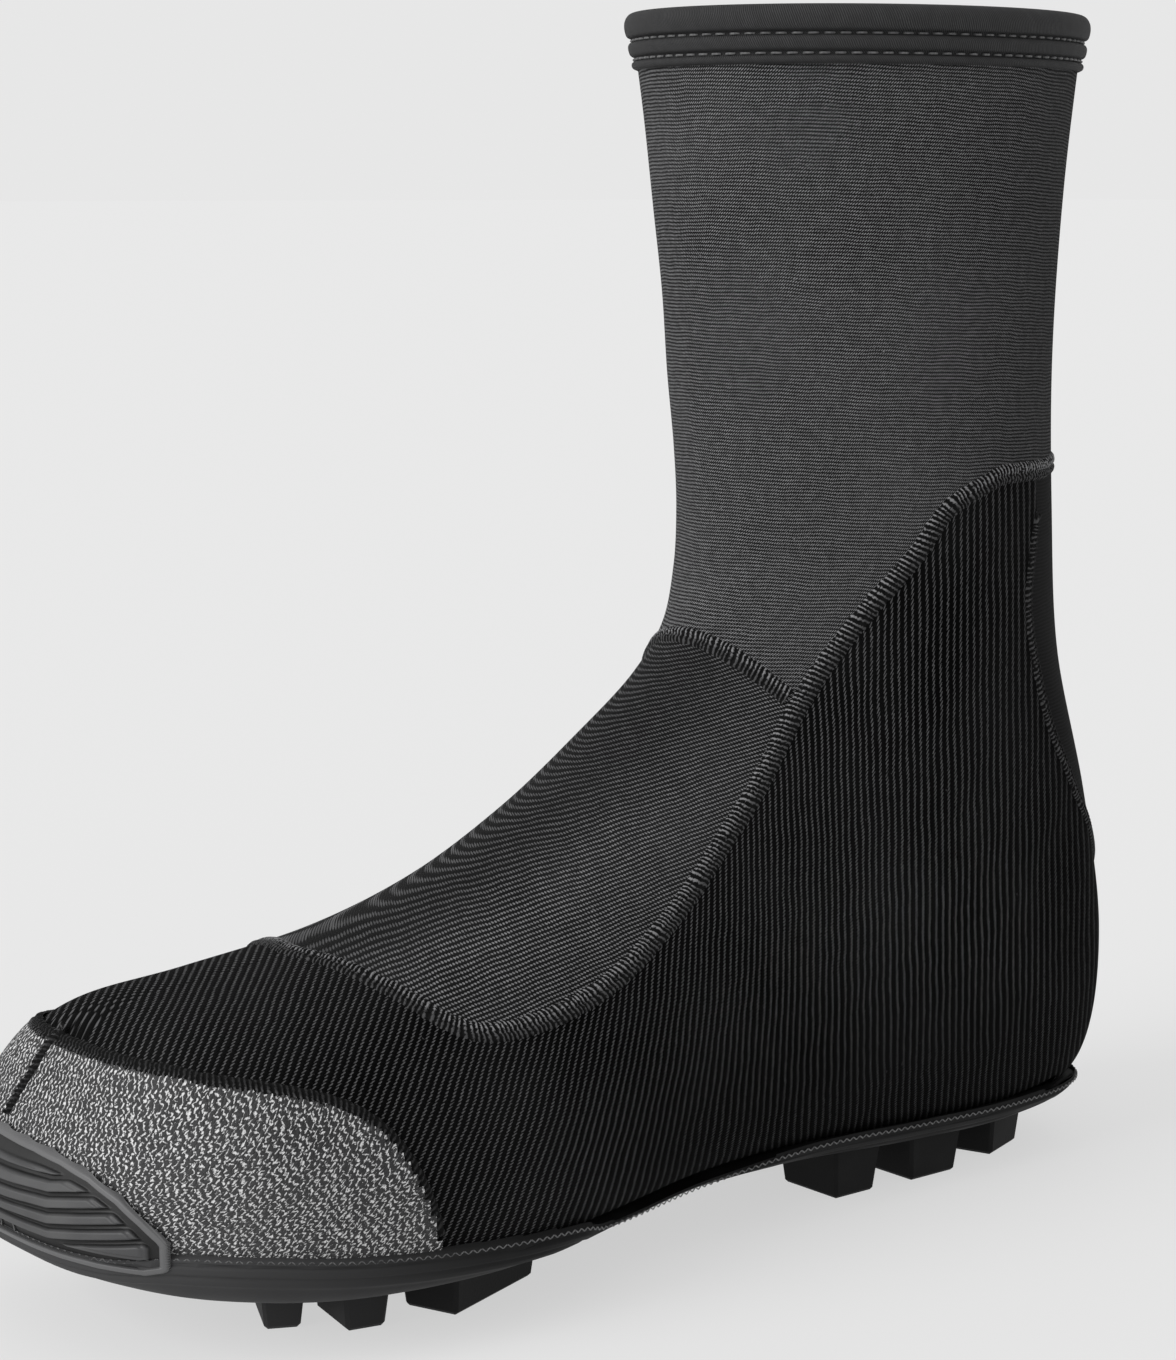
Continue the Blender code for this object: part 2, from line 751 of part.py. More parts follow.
def make_bumper(finish):
    """The moulded toe bumper: a shield with a raised rim and bars that run round the toe."""
    under = 2 * GAP + TOE_CAP_THICKNESS
    lifts = (-under, BUMPER_BASE, BUMPER_BASE + BUMPER_RELIEF)
    trees = {lift: toe_tree(under + lift) for lift in lifts}
    rand = side_view_line(RAND_LINE, 8 * LINE_POINTS)
    longest = 7 + 4 * (len(BUMPER_GROOVES) + 1) - 1
    mesh_data = bmesh.new()
    outer, inner = [], []
    for turn in np.linspace(-BUMPER_SPREAD, BUMPER_SPREAD, 2 * BUMPER_COLUMNS + 1)[::2]:
        y = toe_point(trees[BUMPER_BASE], turn, BUMPER_FOOT).y
        floor = float(np.interp(y, rand[:, 0], rand[:, 1])) + 2 * GAP
        profile = padded(bumper_profile(turn, floor), longest)
        column = []
        for k, (height, lift) in enumerate(profile):
            same = k > 0 and profile[k - 1] == (height, lift)
            column.append(column[-1] if same else mesh_data.verts.new(toe_point(trees[lift], turn, height)))
        outer.append(column)
        levels = (profile[0][0], profile[-1][0])
        inner.append([mesh_data.verts.new(toe_point(trees[-under], turn, z)) for z in levels])
    for before, after in zip(outer, outer[1:]):
        strip(mesh_data, before, after)
    for before, after in zip(inner, inner[1:]):
        strip(mesh_data, after, before)
    for end in (0, -1):
        strip(mesh_data, [c[end] for c in outer], [c[end] for c in inner])
        distinct = [v for k, v in enumerate(outer[end]) if k == 0 or v is not outer[end][k - 1]]
        mesh_data.faces.new(distinct + inner[end][::-1])
    bmesh.ops.triangulate(mesh_data, faces=mesh_data.faces)
    bumper = add_object("toe_bumper", mesh_data)
    combine(bumper, "DIFFERENCE", skin_form("bumper_inside", under))
    return finished(bumper, finish)


def make_lug(lug):
    """One tapered lug, from the floor up into the plate."""
    z_top = SOLE_HEIGHT + WALL * 2
    length, width = lug.length * FOOT_LENGTH, lug.width * BALL_WIDTH
    mesh_data = bmesh.new()
    bmesh.ops.create_cube(mesh_data, size=1.0)
    for vertex in mesh_data.verts:
        root = vertex.co.z > 0
        grow = LUG_DRAFT if root else 0.0
        vertex.co.x *= width + 2 * grow
        vertex.co.y *= length + 2 * grow
        vertex.co.z = z_top if root else 0.0
    edges = [e for e in mesh_data.edges if not all(v.co.z > 0 for v in e.verts)]
    bmesh.ops.bevel(
        mesh_data,
        geom=edges,
        offset=LUG_BEVEL,
        offset_type="OFFSET",
        segments=1,
        profile=0.5,
        affect="EDGES",
        clamp_overlap=True,
    )
    turn = math.radians(lug.skew)
    for vertex in mesh_data.verts:
        x, y = vertex.co.x, vertex.co.y
        vertex.co.x = x * math.cos(turn) - y * math.sin(turn) + lug.across * BALL_WIDTH
        vertex.co.y = x * math.sin(turn) + y * math.cos(turn) + float(along_to_y(lug.along))
    return add_object("lug", mesh_data)


def rounded_slot(centre, width, length, count=8):
    """A slot with half-round ends along Y, as points of x and y."""
    radius = width / 2
    straight = length / 2 - radius
    points = []
    for side in (1, -1):
        for k in range(count + 1):
            angle = math.pi * k / count
            x = side * radius * math.cos(angle)
            y = side * (straight + radius * math.sin(angle))
            points.append((centre[0] + x, centre[1] + y))
    return points


def make_outsole(finish):
    """The moulded rubber sole: plate, rand up round the upper, its bulging band, and the lugs."""
    line = side_view_line(RAND_LINE, LINE_POINTS)
    sole = skin_form("outsole", GAP + PLATE_THICKNESS)
    combine(sole, "INTERSECT", under_line("sole_region", line))
    band = skin_form("band", GAP + PLATE_THICKNESS + RAND_BULGE)
    combine(band, "INTERSECT", under_line("band_region", line, drop=GAP, depth=RAND_BAND))
    combine(sole, "UNION", band)
    combine(sole, "UNION", *[make_lug(lug) for lug in LUGS])
    centre = (0.0, float(along_to_y(CLEAT_PLACE)))
    slot = rounded_slot(centre, CLEAT_WIDTH, CLEAT_LENGTH)
    top = float(rise_to_z(FOOT_SECTIONS[3].base_rise)) + WALL
    combine(sole, "DIFFERENCE", skin_form("sole_inside", SOLE_GAP), prisms("cleat_hole", [slot], 2, -WALL, top))
    return finished(simplified(sole, FLATNESS), finish)


def clear_scene():
    """Removes the objects that the scene starts with."""
    for old in list(bpy.data.objects):
        bpy.data.objects.remove(old)


def centre_on_floor(pieces):
    """Moves every piece so that the bounding box's middle is over the origin."""
    corners = np.array([v.co for piece in pieces for v in piece.data.vertices])
    middle = (corners.min(axis=0) + corners.max(axis=0)) / 2
    for piece in pieces:
        for vertex in piece.data.vertices:
            vertex.co -= Vector((middle[0], middle[1], 0.0))


def main():
    """Builds the overshoe."""
    clear_scene()
    knit = material("ribbed_knit", (0.018, 0.018, 0.019), 0.85)
    binding = material("elastic_binding", (0.030, 0.030, 0.032), 0.70)
    thread = material("seam_thread", (0.060, 0.060, 0.062), 0.80)
    weave = material("heather_weave", (0.130, 0.132, 0.135), 0.90)
    bumper = material("bumper_rubber", (0.055, 0.056, 0.058), 0.55)
    rubber = material("sole_rubber", (0.020, 0.020, 0.021), 0.60)
    pieces = [
        make_upper(knit),
        make_outsole(rubber),
        make_binding(binding),
        make_toe_cap(weave),
        make_bumper(bumper),
        make_seam("side_seam", both_sides(SIDE_SEAM), thread),
        make_seam("instep_seam", both_sides(INSTEP_SEAM), thread),
        make_seam("back_seam", both_sides(BACK_SEAM[::-1]), thread, width=SEAM_WIDTH * 0.7),
        make_seam("centre_seam", CENTRE_SEAM, thread, width=SEAM_WIDTH * 0.7),
    ]
    centre_on_floor(pieces)


main()
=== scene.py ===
"""Looks of a cycling overshoe for the left foot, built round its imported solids.

Units are metres, +Z is up, the toe points to -Y and the outer side of the foot to +X. Every sheet
of cloth or rubber lies on one skin. A place on it is a station, counted in rows of the section
table from the toe tip to the collar, and a turn, the angle round the section: 0 under the sole or
down the back, 90 degrees on the outer side and 180 degrees on the ridge.
"""

import json
import logging
import math
from dataclasses import dataclass, field
from enum import Enum
from typing import Callable, NamedTuple

import bmesh
import bpy
import numpy as np
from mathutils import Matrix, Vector
from mathutils.bvhtree import BVHTree

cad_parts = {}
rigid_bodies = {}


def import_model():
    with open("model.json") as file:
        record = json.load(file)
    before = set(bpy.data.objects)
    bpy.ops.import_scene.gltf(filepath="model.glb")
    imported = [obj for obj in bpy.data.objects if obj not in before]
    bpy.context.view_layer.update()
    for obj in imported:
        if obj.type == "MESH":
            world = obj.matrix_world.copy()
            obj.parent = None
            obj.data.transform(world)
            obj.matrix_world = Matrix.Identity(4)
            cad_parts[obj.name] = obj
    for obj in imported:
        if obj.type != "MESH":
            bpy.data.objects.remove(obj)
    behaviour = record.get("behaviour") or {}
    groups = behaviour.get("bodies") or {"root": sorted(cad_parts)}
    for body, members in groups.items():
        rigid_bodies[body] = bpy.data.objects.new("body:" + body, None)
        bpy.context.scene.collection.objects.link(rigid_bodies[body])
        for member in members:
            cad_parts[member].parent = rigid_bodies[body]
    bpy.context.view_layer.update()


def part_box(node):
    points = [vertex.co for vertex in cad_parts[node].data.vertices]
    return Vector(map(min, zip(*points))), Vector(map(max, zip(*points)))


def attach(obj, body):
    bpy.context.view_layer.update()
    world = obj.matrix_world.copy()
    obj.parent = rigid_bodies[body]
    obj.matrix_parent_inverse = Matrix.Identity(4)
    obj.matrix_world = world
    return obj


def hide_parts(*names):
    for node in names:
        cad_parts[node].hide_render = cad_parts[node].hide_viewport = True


LOG = logging.getLogger("overshoe")
BODY = "root"
FOOT_LENGTH = 0.3075
BALL_WIDTH = 0.107
HEEL_WIDTH = 0.090
FOOT_RISE = 0.135
SHAFT_RISE = 0.1437
SHAFT_DEPTH = 0.122
SHAFT_WIDTH = 0.0998
SHAFT_SETBACK = 0.070
SHAFT_MIDDLE = 0.0875
SOLE_HEIGHT = 0.0113
FOOT_START = -0.150
WIDTH_BLEND_START = 0.28
WIDTH_BLEND_LENGTH = 0.58
TIP_BULGE = 0.0014
RIB_WAY = (0.63, 0.777)
WALL = 0.0030
HALVINGS = 40
MM = 1e-3


class FootSection(NamedTuple):
    """A section of the foot: base and crown as shares along and rises, then its width and shape."""

    base_along: float
    base_rise: float
    crown_along: float
    crown_rise: float
    half: float
    sway: float
    low: float
    high: float
    widest: float


class ShaftSection(NamedTuple):
    """A ring of the shaft: rises at the back and front, reach to both, half width, squareness."""

    back_rise: float
    front_rise: float
    back: float
    front: float
    half: float
    square: float


FOOT_SECTIONS = (
    FootSection(0.000, 0.146, 0.003, 0.213, 0.187, -0.121, 2.2, 2.2, 0.50),
    FootSection(0.010, 0.087, 0.029, 0.316, 0.505, -0.112, 3.2, 2.3, 0.44),
    FootSection(0.034, 0.057, 0.052, 0.398, 0.710, -0.084, 4.2, 2.3, 0.42),
    FootSection(0.085, 0.031, 0.088, 0.457, 0.869, -0.047, 5.0, 2.2, 0.40),
    FootSection(0.169, 0.011, 0.163, 0.487, 0.963, -0.009, 5.4, 2.1, 0.36),
    FootSection(0.280, 0.013, 0.270, 0.531, 1.000, 0.019, 5.4, 2.0, 0.34),
    FootSection(0.390, 0.035, 0.359, 0.605, 0.958, 0.028, 5.2, 1.9, 0.34),
    FootSection(0.501, 0.046, 0.441, 0.705, 0.917, 0.019, 5.0, 1.9, 0.36),
    FootSection(0.618, 0.031, 0.512, 0.813, 0.923, 0.000, 4.8, 1.9, 0.37),
    FootSection(0.741, 0.009, 0.569, 0.920, 0.958, 0.000, 4.8, 1.9, 0.39),
    FootSection(0.859, 0.000, 0.603, 1.022, 1.000, 0.000, 4.4, 1.95, 0.41),
    FootSection(0.959, 0.035, 0.613, 1.130, 1.010, 0.000, 3.4, 2.0, 0.42),
    FootSection(1.000, 0.235, 0.613, 1.235, 1.000, 0.000, 2.6, 2.0, 0.43),
    FootSection(0.992, 0.494, 0.610, 1.339, 0.973, 0.000, 2.3, 2.0, 0.46),
)

SHAFT_SECTIONS = (
    ShaftSection(0.790, 1.457, 0.992, 0.844, 0.858, 2.0),
    ShaftSection(1.095, 1.582, 0.933, 0.872, 0.854, 2.0),
    ShaftSection(1.388, 1.708, 0.903, 0.910, 0.880, 2.0),
    ShaftSection(1.694, 1.854, 0.925, 0.947, 0.936, 2.0),
    ShaftSection(2.000, 2.000, 1.000, 1.000, 1.000, 2.0),
)


class Place(NamedTuple):
    """A place on the skin: its station, and its turn in degrees."""

    station: float
    turn: float


SIDE_SEAM = (
    Place(4.45, 180), Place(4.53, 166), Place(4.66, 150), Place(4.95, 131), Place(5.55, 124),
    Place(6.40, 122), Place(7.20, 125), Place(8.25, 132), Place(9.68, 140), Place(11.08, 136),
    Place(12.40, 125), Place(13.68, 107), Place(14.50, 87), Place(14.80, 75), Place(15.05, 60),
    Place(15.30, 40), Place(15.42, 20), Place(15.46, 5),
)
INSTEP_SEAM = (Place(9.40, 180), Place(9.46, 166), Place(9.55, 153), Place(9.64, 143))
CENTRE_SEAM = (Place(15.62, 0), Place(16.30, 0), Place(17.00, 0), Place(17.62, 0))
BACK_SEAM = (
    Place(14.70, 63), Place(14.30, 68), Place(13.60, 76), Place(13.00, 76), Place(12.75, 66),
    Place(12.65, 40), Place(12.65, 0),
)
TOE_SEAM = (
    Place(2.06, 190.5), Place(1.93, 192.5), Place(1.34, 195.0), Place(0.90, 199.5), Place(0.55, 208.0)
)


class SidePoint(NamedTuple):
    """A point of a line seen from the side: share of the foot's length, and rise."""

    along: float
    rise: float


RAND_LINE = (
    SidePoint(-0.060, 0.101), SidePoint(0.000, 0.103), SidePoint(0.020, 0.111),
    SidePoint(0.040, 0.120), SidePoint(0.085, 0.114), SidePoint(0.145, 0.098),
    SidePoint(0.210, 0.086), SidePoint(0.280, 0.078), SidePoint(0.340, 0.068),
    SidePoint(0.375, 0.048), SidePoint(0.440, 0.047), SidePoint(0.500, 0.051),
    SidePoint(0.570, 0.062), SidePoint(0.640, 0.063), SidePoint(0.720, 0.056),
    SidePoint(0.800, 0.050), SidePoint(0.900, 0.046), SidePoint(1.060, 0.046),
)
TOE_CAP_LINE = (
    SidePoint(-0.060, 0.384), SidePoint(0.050, 0.384), SidePoint(0.075, 0.376),
    SidePoint(0.105, 0.364), SidePoint(0.145, 0.338), SidePoint(0.170, 0.304),
    SidePoint(0.187, 0.255), SidePoint(0.203, 0.180), SidePoint(0.213, 0.105),
    SidePoint(0.214, 0.040),
)


class Crease(NamedTuple):
    """A soft trough, or a ridge where its depth is negative, along a path on the skin."""

    path: tuple[Place, ...]
    width: float
    depth: float


CREASES = (
    Crease((Place(9.6, 172), Place(10.1, 158), Place(10.6, 140), Place(11.0, 118)), 0.008, 0.0011),
    Crease((Place(10.4, 188), Place(10.8, 170), Place(11.4, 150), Place(12.0, 132)), 0.007, 0.0008),
    Crease((Place(5.0, 176), Place(6.2, 173), Place(7.4, 172), Place(8.4, 174)), 0.006, 0.0005),
    Crease((Place(5.6, 160), Place(6.6, 157), Place(7.8, 158)), 0.007, 0.0005),
    Crease((Place(12.9, 62), Place(12.2, 70), Place(11.6, 78), Place(11.0, 84)), 0.010, 0.0009),
    Crease((Place(11.4, 56), Place(10.8, 66), Place(10.2, 74)), 0.010, -0.0007),
    Crease((Place(15.6, 120), Place(16.2, 112), Place(17.0, 108)), 0.012, 0.0006),
)


@dataclass
class Skin:
    """The outer surface of the upper, from the same sections as the solids.

    Attributes:
        shift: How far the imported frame's origin lies from the section tables' own.
    """

    shift: Vector
    rows: np.ndarray = field(init=False)
    slopes: np.ndarray = field(init=False)
    creases: list[tuple[np.ndarray, float, float]] = field(init=False)

    def __post_init__(self) -> None:
        """Turns the tables into metres and lays the creases' paths out in space."""
        rows = []
        for s in FOOT_SECTIONS:
            share = min(max((s.base_along - WIDTH_BLEND_START) / WIDTH_BLEND_LENGTH, 0.0), 1.0)
            blend = share * share * (3 - 2 * share)
            width = BALL_WIDTH + (HEEL_WIDTH - BALL_WIDTH) * blend
            ends = [self.along(s.base_along), self.rise(s.base_rise)]
            ends += [self.along(s.crown_along), self.rise(s.crown_rise)]
            rows.append(ends + [s.half * width / 2, s.sway * BALL_WIDTH, s.low, s.high, s.widest])
        middle = self.along(1.0) - SHAFT_SETBACK
        for s in SHAFT_SECTIONS:
            ends = [middle + s.back * SHAFT_DEPTH / 2, self.rise(s.back_rise)]
            ends += [middle - s.front * SHAFT_DEPTH / 2, self.rise(s.front_rise)]
            rows.append(ends + [s.half * SHAFT_WIDTH / 2, 0.0, s.square, s.square, 0.5])
        self.rows = np.array(rows, float)
        self.slopes = np.gradient(self.rows, axis=0)
        self.creases = []
        for crease in CREASES:
            station, turn = self.path(crease.path, 60)
            self.creases.append((self.bare(station, turn), crease.width, crease.depth))

    @staticmethod
    def along(share: float | np.ndarray) -> float | np.ndarray:
        """The Y of a share of the foot's length."""
        return FOOT_LENGTH * share + FOOT_START

    @staticmethod
    def rise(rise: float | np.ndarray) -> float | np.ndarray:
        """The height of a rise: 0 at the sole, 1 at the ankle, 2 at the collar."""
        return SOLE_HEIGHT + FOOT_RISE * np.minimum(rise, 1) + SHAFT_RISE * np.maximum(rise - 1, 0)

    @property
    def last(self) -> int:
        """The station of the collar."""
        return len(self.rows) - 1

    @staticmethod
    def path(places: tuple[Place, ...], count: int) -> tuple[np.ndarray, np.ndarray]:
        """A smooth path through places.

        Args:
            places: The places that it runs through.
            count: How many samples it gets.

        Returns:
            The stations, and the turns in radians.
        """
        points = np.array([(p.station, math.radians(p.turn)) for p in places], float)
        line = smooth_line(points, count)
        return line[:, 0], line[:, 1]

    def section(self, station: np.ndarray) -> np.ndarray:
        """The section at each station, on a smooth curve through the rows."""
        row = np.clip(np.floor(station).astype(int), 0, self.last - 1)
        f = (np.clip(station, 0, self.last) - row)[..., None]
        found = (
            (2 * f**3 - 3 * f**2 + 1) * self.rows[row]
            + (f**3 - 2 * f**2 + f) * self.slopes[row]
            + (3 * f**2 - 2 * f**3) * self.rows[row + 1]
            + (f**3 - f**2) * self.slopes[row + 1]
        )
        return self.round_tip(found, station)

    @staticmethod
    def round_tip(found: np.ndarray, station: np.ndarray) -> np.ndarray:
        """Shrinks the first section to a rounded tip for stations from 0 down to -1."""
        size = np.clip(1 + station, 0.0, 1.0)[..., None]
        middle = (found[..., 0:2] + found[..., 2:4]) / 2
        forward = np.concatenate([-TIP_BULGE * (1 - size**2), 0 * size], axis=-1)
        found = found.copy()
        found[..., 0:2] = middle + (found[..., 0:2] - middle) * size + forward
        found[..., 2:4] = middle + (found[..., 2:4] - middle) * size + forward
        found[..., 4:5] *= size
        return found

    def bare(self, station: np.ndarray, turn: np.ndarray) -> np.ndarray:
        """Points of the skin without creases, at stations and turns in radians."""
        columns = np.moveaxis(self.section(station), -1, 0)
        base_y, base_z, crown_y, crown_z, half, middle, low, high, widest = columns
        across, down = np.sin(turn), np.cos(turn)
        square = np.where(down > 0, low, high)
        size = (np.abs(across) ** square + np.abs(down) ** square) ** (-1 / square)
        reach = np.where(down > 0, widest, 1 - widest)
        up = widest - reach * down * size
        x = middle + half * across * size
        y = base_y + (crown_y - base_y) * up
        z = base_z + (crown_z - base_z) * up
        return np.stack([x + self.shift.x, y + self.shift.y, z], axis=-1)

    def frame(self, station: np.ndarray, turn: np.ndarray) -> tuple[np.ndarray, ...]:
        """Point, outward normal, and the tangents per unit of station and of turn."""
        step = 2e-3
        before = np.clip(station - step, -0.999, self.last)
        after = np.clip(station + step, -0.999, self.last)
        span = (after - before)[..., None]
        by_station = (self.bare(after, turn) - self.bare(before, turn)) / span
        by_turn = (self.bare(station, turn + step) - self.bare(station, turn - step)) / (2 * step)
        normal = np.cross(by_station, by_turn)
        normal /= np.maximum(np.linalg.norm(normal, axis=-1, keepdims=True), 1e-12)
        return self.bare(station, turn), normal, by_station, by_turn

    def relief(self, place: np.ndarray) -> np.ndarray:
        """How far the creases move these points outwards."""
        flat = place.reshape(-1, 3)
        total = np.zeros(len(flat))
        for line, width, depth in self.creases:
            near = np.full(len(flat), 1e9)
            best = np.zeros(len(flat))
            for k, point in enumerate(line):
                distance = ((flat - point) ** 2).sum(axis=1)
                closer = distance < near
                near = np.where(closer, distance, near)
                best = np.where(closer, k / (len(line) - 1), best)
            fade = np.sin(np.pi * np.clip(best, 0.02, 0.98)) ** 0.6
            total -= depth * fade * np.exp(-near / (2 * (width / 2) ** 2))
        return total.reshape(place.shape[:-1])

    def surface(self, station: np.ndarray, turn: np.ndarray, lift: float | np.ndarray) -> np.ndarray:
        """Points at a lift over the creased skin.

        Args:
            station: Stations, from -1 at the toe tip.
            turn: Turns in radians, of the same shape.
            lift: Distance outside the skin.

        Returns:
            An array of points with a last axis of 3.
        """
        place, normal, _, _ = self.frame(station, turn)
        return place + normal * (lift + self.relief(place))[..., None]

    def station_at(self, turn: np.ndarray, height: np.ndarray, lowest: float = 14.5) -> np.ndarray:
        """The station on the shaft where the skin has this height, for each turn."""
        low = np.full_like(turn, lowest)
        high = np.full_like(turn, float(self.last))
        for _ in range(HALVINGS):
            middle = (low + high) / 2
            below = self.bare(middle, turn)[..., 2] < height
            low = np.where(below, middle, low)
            high = np.where(below, high, middle)
        return (low + high) / 2

    def side_line(self, line: tuple[SidePoint, ...]) -> tuple[np.ndarray, np.ndarray]:
        """A side-view line as its Y and its height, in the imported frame."""
        points = smooth_line(np.array(line, float), 200)
        return self.along(points[:, 0]) + self.shift.y, self.rise(points[:, 1])


def smooth_line(points: np.ndarray, count: int) -> np.ndarray:
    """Points on a smooth curve through rows of numbers.

    Args:
        points: One row a point.
        count: How many points are wanted.

    Returns:
        An array of that many rows.
    """
    slopes = np.gradient(points, axis=0)
    place = np.linspace(0, len(points) - 1, count)
    row = np.minimum(place.astype(int), len(points) - 2)
    f = (place - row)[:, None]
    return (
        (2 * f**3 - 3 * f**2 + 1) * points[row]
        + (f**3 - 2 * f**2 + f) * slopes[row]
        + (3 * f**2 - 2 * f**3) * points[row + 1]
        + (f**3 - f**2) * slopes[row + 1]
    )


def smooth_step(low: float, high: float, value: np.ndarray) -> np.ndarray:
    """0 below the low value, 1 above the high one, and an even blend between."""
    share = np.clip((value - low) / (high - low), 0, 1)
    return share * share * (3 - 2 * share)


@dataclass
class Workshop:
    """Makes mesh objects and hands them over to the frame."""

    skin: Skin

    def finish(
        self, piece: bpy.types.Object, slot: str, finish: bpy.types.Material, node: str = ""
    ) -> bpy.types.Object:
        """Shades a piece, dresses it and lets it ride on the body.

        Args:
            piece: The finished mesh object.
            slot: The record's material slot that it belongs to; not used.
            finish: Its material.
            node: The CAD node that it stands for, if any.

        Returns:
            The same object.
        """
        piece.data.materials.clear()
        piece.data.materials.append(finish)
        piece.data.shade_smooth()
        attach(piece, BODY)
        if node:
            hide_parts(node)
        LOG.info("%s: %d faces", piece.name, len(piece.data.polygons))
        return piece

    @staticmethod
    def link(name: str, mesh_data: bmesh.types.BMesh) -> bpy.types.Object:
        """Makes a linked object from a bmesh, and frees the bmesh."""
        mesh = bpy.data.meshes.new(name)
        mesh_data.to_mesh(mesh)
        mesh_data.free()
        piece = bpy.data.objects.new(name, mesh)
        bpy.context.scene.collection.objects.link(piece)
        return piece

    def sheet(
        self,
        name: str,
        stations: tuple[float, float, int],
        turns: tuple[float, float, int],
        place: Callable[[np.ndarray, np.ndarray], np.ndarray],
        keep: Callable[[np.ndarray, np.ndarray, np.ndarray], np.ndarray] | None = None,
        pattern: Callable[[np.ndarray, np.ndarray, np.ndarray], np.ndarray] | None = None,
        closed: bool = False,
        flipped: bool = False,
    ) -> bpy.types.Object:
        """A grid laid on the skin.

        Args:
            name: The object's name.
            stations: First and last station, and the number of strips between.
            turns: First and last turn in radians, and the number of strips between.
            place: Gives the points for arrays of stations and turns.
            keep: Tells which faces stay, from their station, turn and middle.
            pattern: Gives the two pattern coordinates, in millimetres.
            closed: Whether the first and last turn meet and are joined.
            flipped: Whether the faces are turned over, to point the other way.

        Returns:
            The new object.
        """
        grid = bmesh.new()
        bmesh.ops.create_grid(grid, x_segments=turns[2], y_segments=stations[2], size=0.5)
        share = np.array([v.co[:2] for v in grid.verts]) + 0.5
        station = stations[0] + (stations[1] - stations[0]) * share[:, 1]
        turn = turns[0] + (turns[1] - turns[0]) * share[:, 0]
        points = place(station, turn)
        if keep is not None:
            corners = np.array([[v.index for v in f.verts] for f in grid.faces])
            stays = keep(station[corners].mean(1), turn[corners].mean(1), points[corners].mean(1))
            doomed = [f for f, stay in zip(list(grid.faces), stays) if not stay]
        marks = pattern(station, turn, points) if pattern is not None else share
        layer = grid.loops.layers.uv.new("pattern")
        for face in grid.faces:
            for loop in face.loops:
                loop[layer].uv = marks[loop.vert.index]
        for vertex, point in zip(grid.verts, points):
            vertex.co = point
        if keep is not None:
            bmesh.ops.delete(grid, geom=doomed, context="FACES")
        if closed:
            bmesh.ops.remove_doubles(grid, verts=grid.verts, dist=1e-5)
        if flipped:
            bmesh.ops.reverse_faces(grid, faces=grid.faces)
        return self.link(name, grid)


class Region(Enum):
    """The cloth panels of the upper."""

    QUARTER = "quarter"
    INSTEP = "instep"
    SHAFT = "shaft"
    BACK = "back"


class Nodes:
    """A short way to lay out shader nodes in one tree."""

    def __init__(self, tree: bpy.types.NodeTree) -> None:
        """Starts on an empty tree."""
        self.tree = tree
        tree.nodes.clear()

    def add(self, kind: str, **values: object) -> bpy.types.Node:
        """Adds a node and sets its properties."""
        node = self.tree.nodes.new(kind)
        for key, value in values.items():
            setattr(node, key, value)
        return node

    def wire(self, source: object, target: bpy.types.NodeSocket) -> None:
        """Links a socket to a target, or sets the target's value."""
        if isinstance(source, bpy.types.NodeSocket):
            self.tree.links.new(source, target)
        else:
            target.default_value = source

    def math(self, operation: str, *values: object, clamp: bool = False) -> bpy.types.NodeSocket:
        """A Math node on sockets or numbers."""
        node = self.add("ShaderNodeMath", operation=operation, use_clamp=clamp)
        for value, target in zip(values, node.inputs):
            self.wire(value, target)
        return node.outputs[0]

    def mix(self, factor: object, first: object, second: object) -> bpy.types.NodeSocket:
        """A blend of two colours."""
        node = self.add("ShaderNodeMix", data_type="RGBA")
        self.wire(factor, node.inputs[0])
        self.wire(first, node.inputs[6])
        self.wire(second, node.inputs[7])
        return node.outputs[2]

    def noise(self, vector: object, scale: float, detail: float = 2.0) -> bpy.types.NodeSocket:
        """The value of a noise texture at this scale."""
        node = self.add("ShaderNodeTexNoise")
        self.wire(vector, node.inputs["Vector"])
        node.inputs["Scale"].default_value = scale
        node.inputs["Detail"].default_value = detail
        return node.outputs["Fac"]

    def ramp(self, value: object, low: object, high: object) -> bpy.types.NodeSocket:
        """0 below the low value, 1 above the high one, smooth between."""
        node = self.add("ShaderNodeMapRange", interpolation_type="SMOOTHSTEP")
        self.wire(value, node.inputs["Value"])
        self.wire(low, node.inputs["From Min"])
        self.wire(high, node.inputs["From Max"])
        return node.outputs["Result"]

    def split(self, vector: bpy.types.NodeSocket) -> tuple[bpy.types.NodeSocket, ...]:
        """The three parts of a vector."""
        node = self.add("ShaderNodeSeparateXYZ")
        self.wire(vector, node.inputs[0])
        return tuple(node.outputs)

    def scaled(self, vector: bpy.types.NodeSocket, size: object) -> bpy.types.NodeSocket:
        """A vector times a number."""
        node = self.add("ShaderNodeVectorMath", operation="SCALE")
        self.wire(vector, node.inputs[0])
        self.wire(size, node.inputs["Scale"])
        return node.outputs[0]


def new_group(name: str, inputs: dict[str, tuple[str, object]], outputs: dict[str, str]) -> tuple:
    """A shader node group with these sockets.

    Args:
        name: The group's name.
        inputs: Socket type and default value by name.
        outputs: Socket type by name.

    Returns:
        The Nodes of the group, its input node's sockets and its output node's sockets.
    """
    tree = bpy.data.node_groups.new(name, "ShaderNodeTree")
    for label, (kind, value) in inputs.items():
        socket = tree.interface.new_socket(label, in_out="INPUT", socket_type=kind)
        if value is not None:
            socket.default_value = value
    for label, kind in outputs.items():
        tree.interface.new_socket(label, in_out="OUTPUT", socket_type=kind)
    nodes = Nodes(tree)
    entry = nodes.add("NodeGroupInput")
    leave = nodes.add("NodeGroupOutput")
    return nodes, entry.outputs, leave.inputs


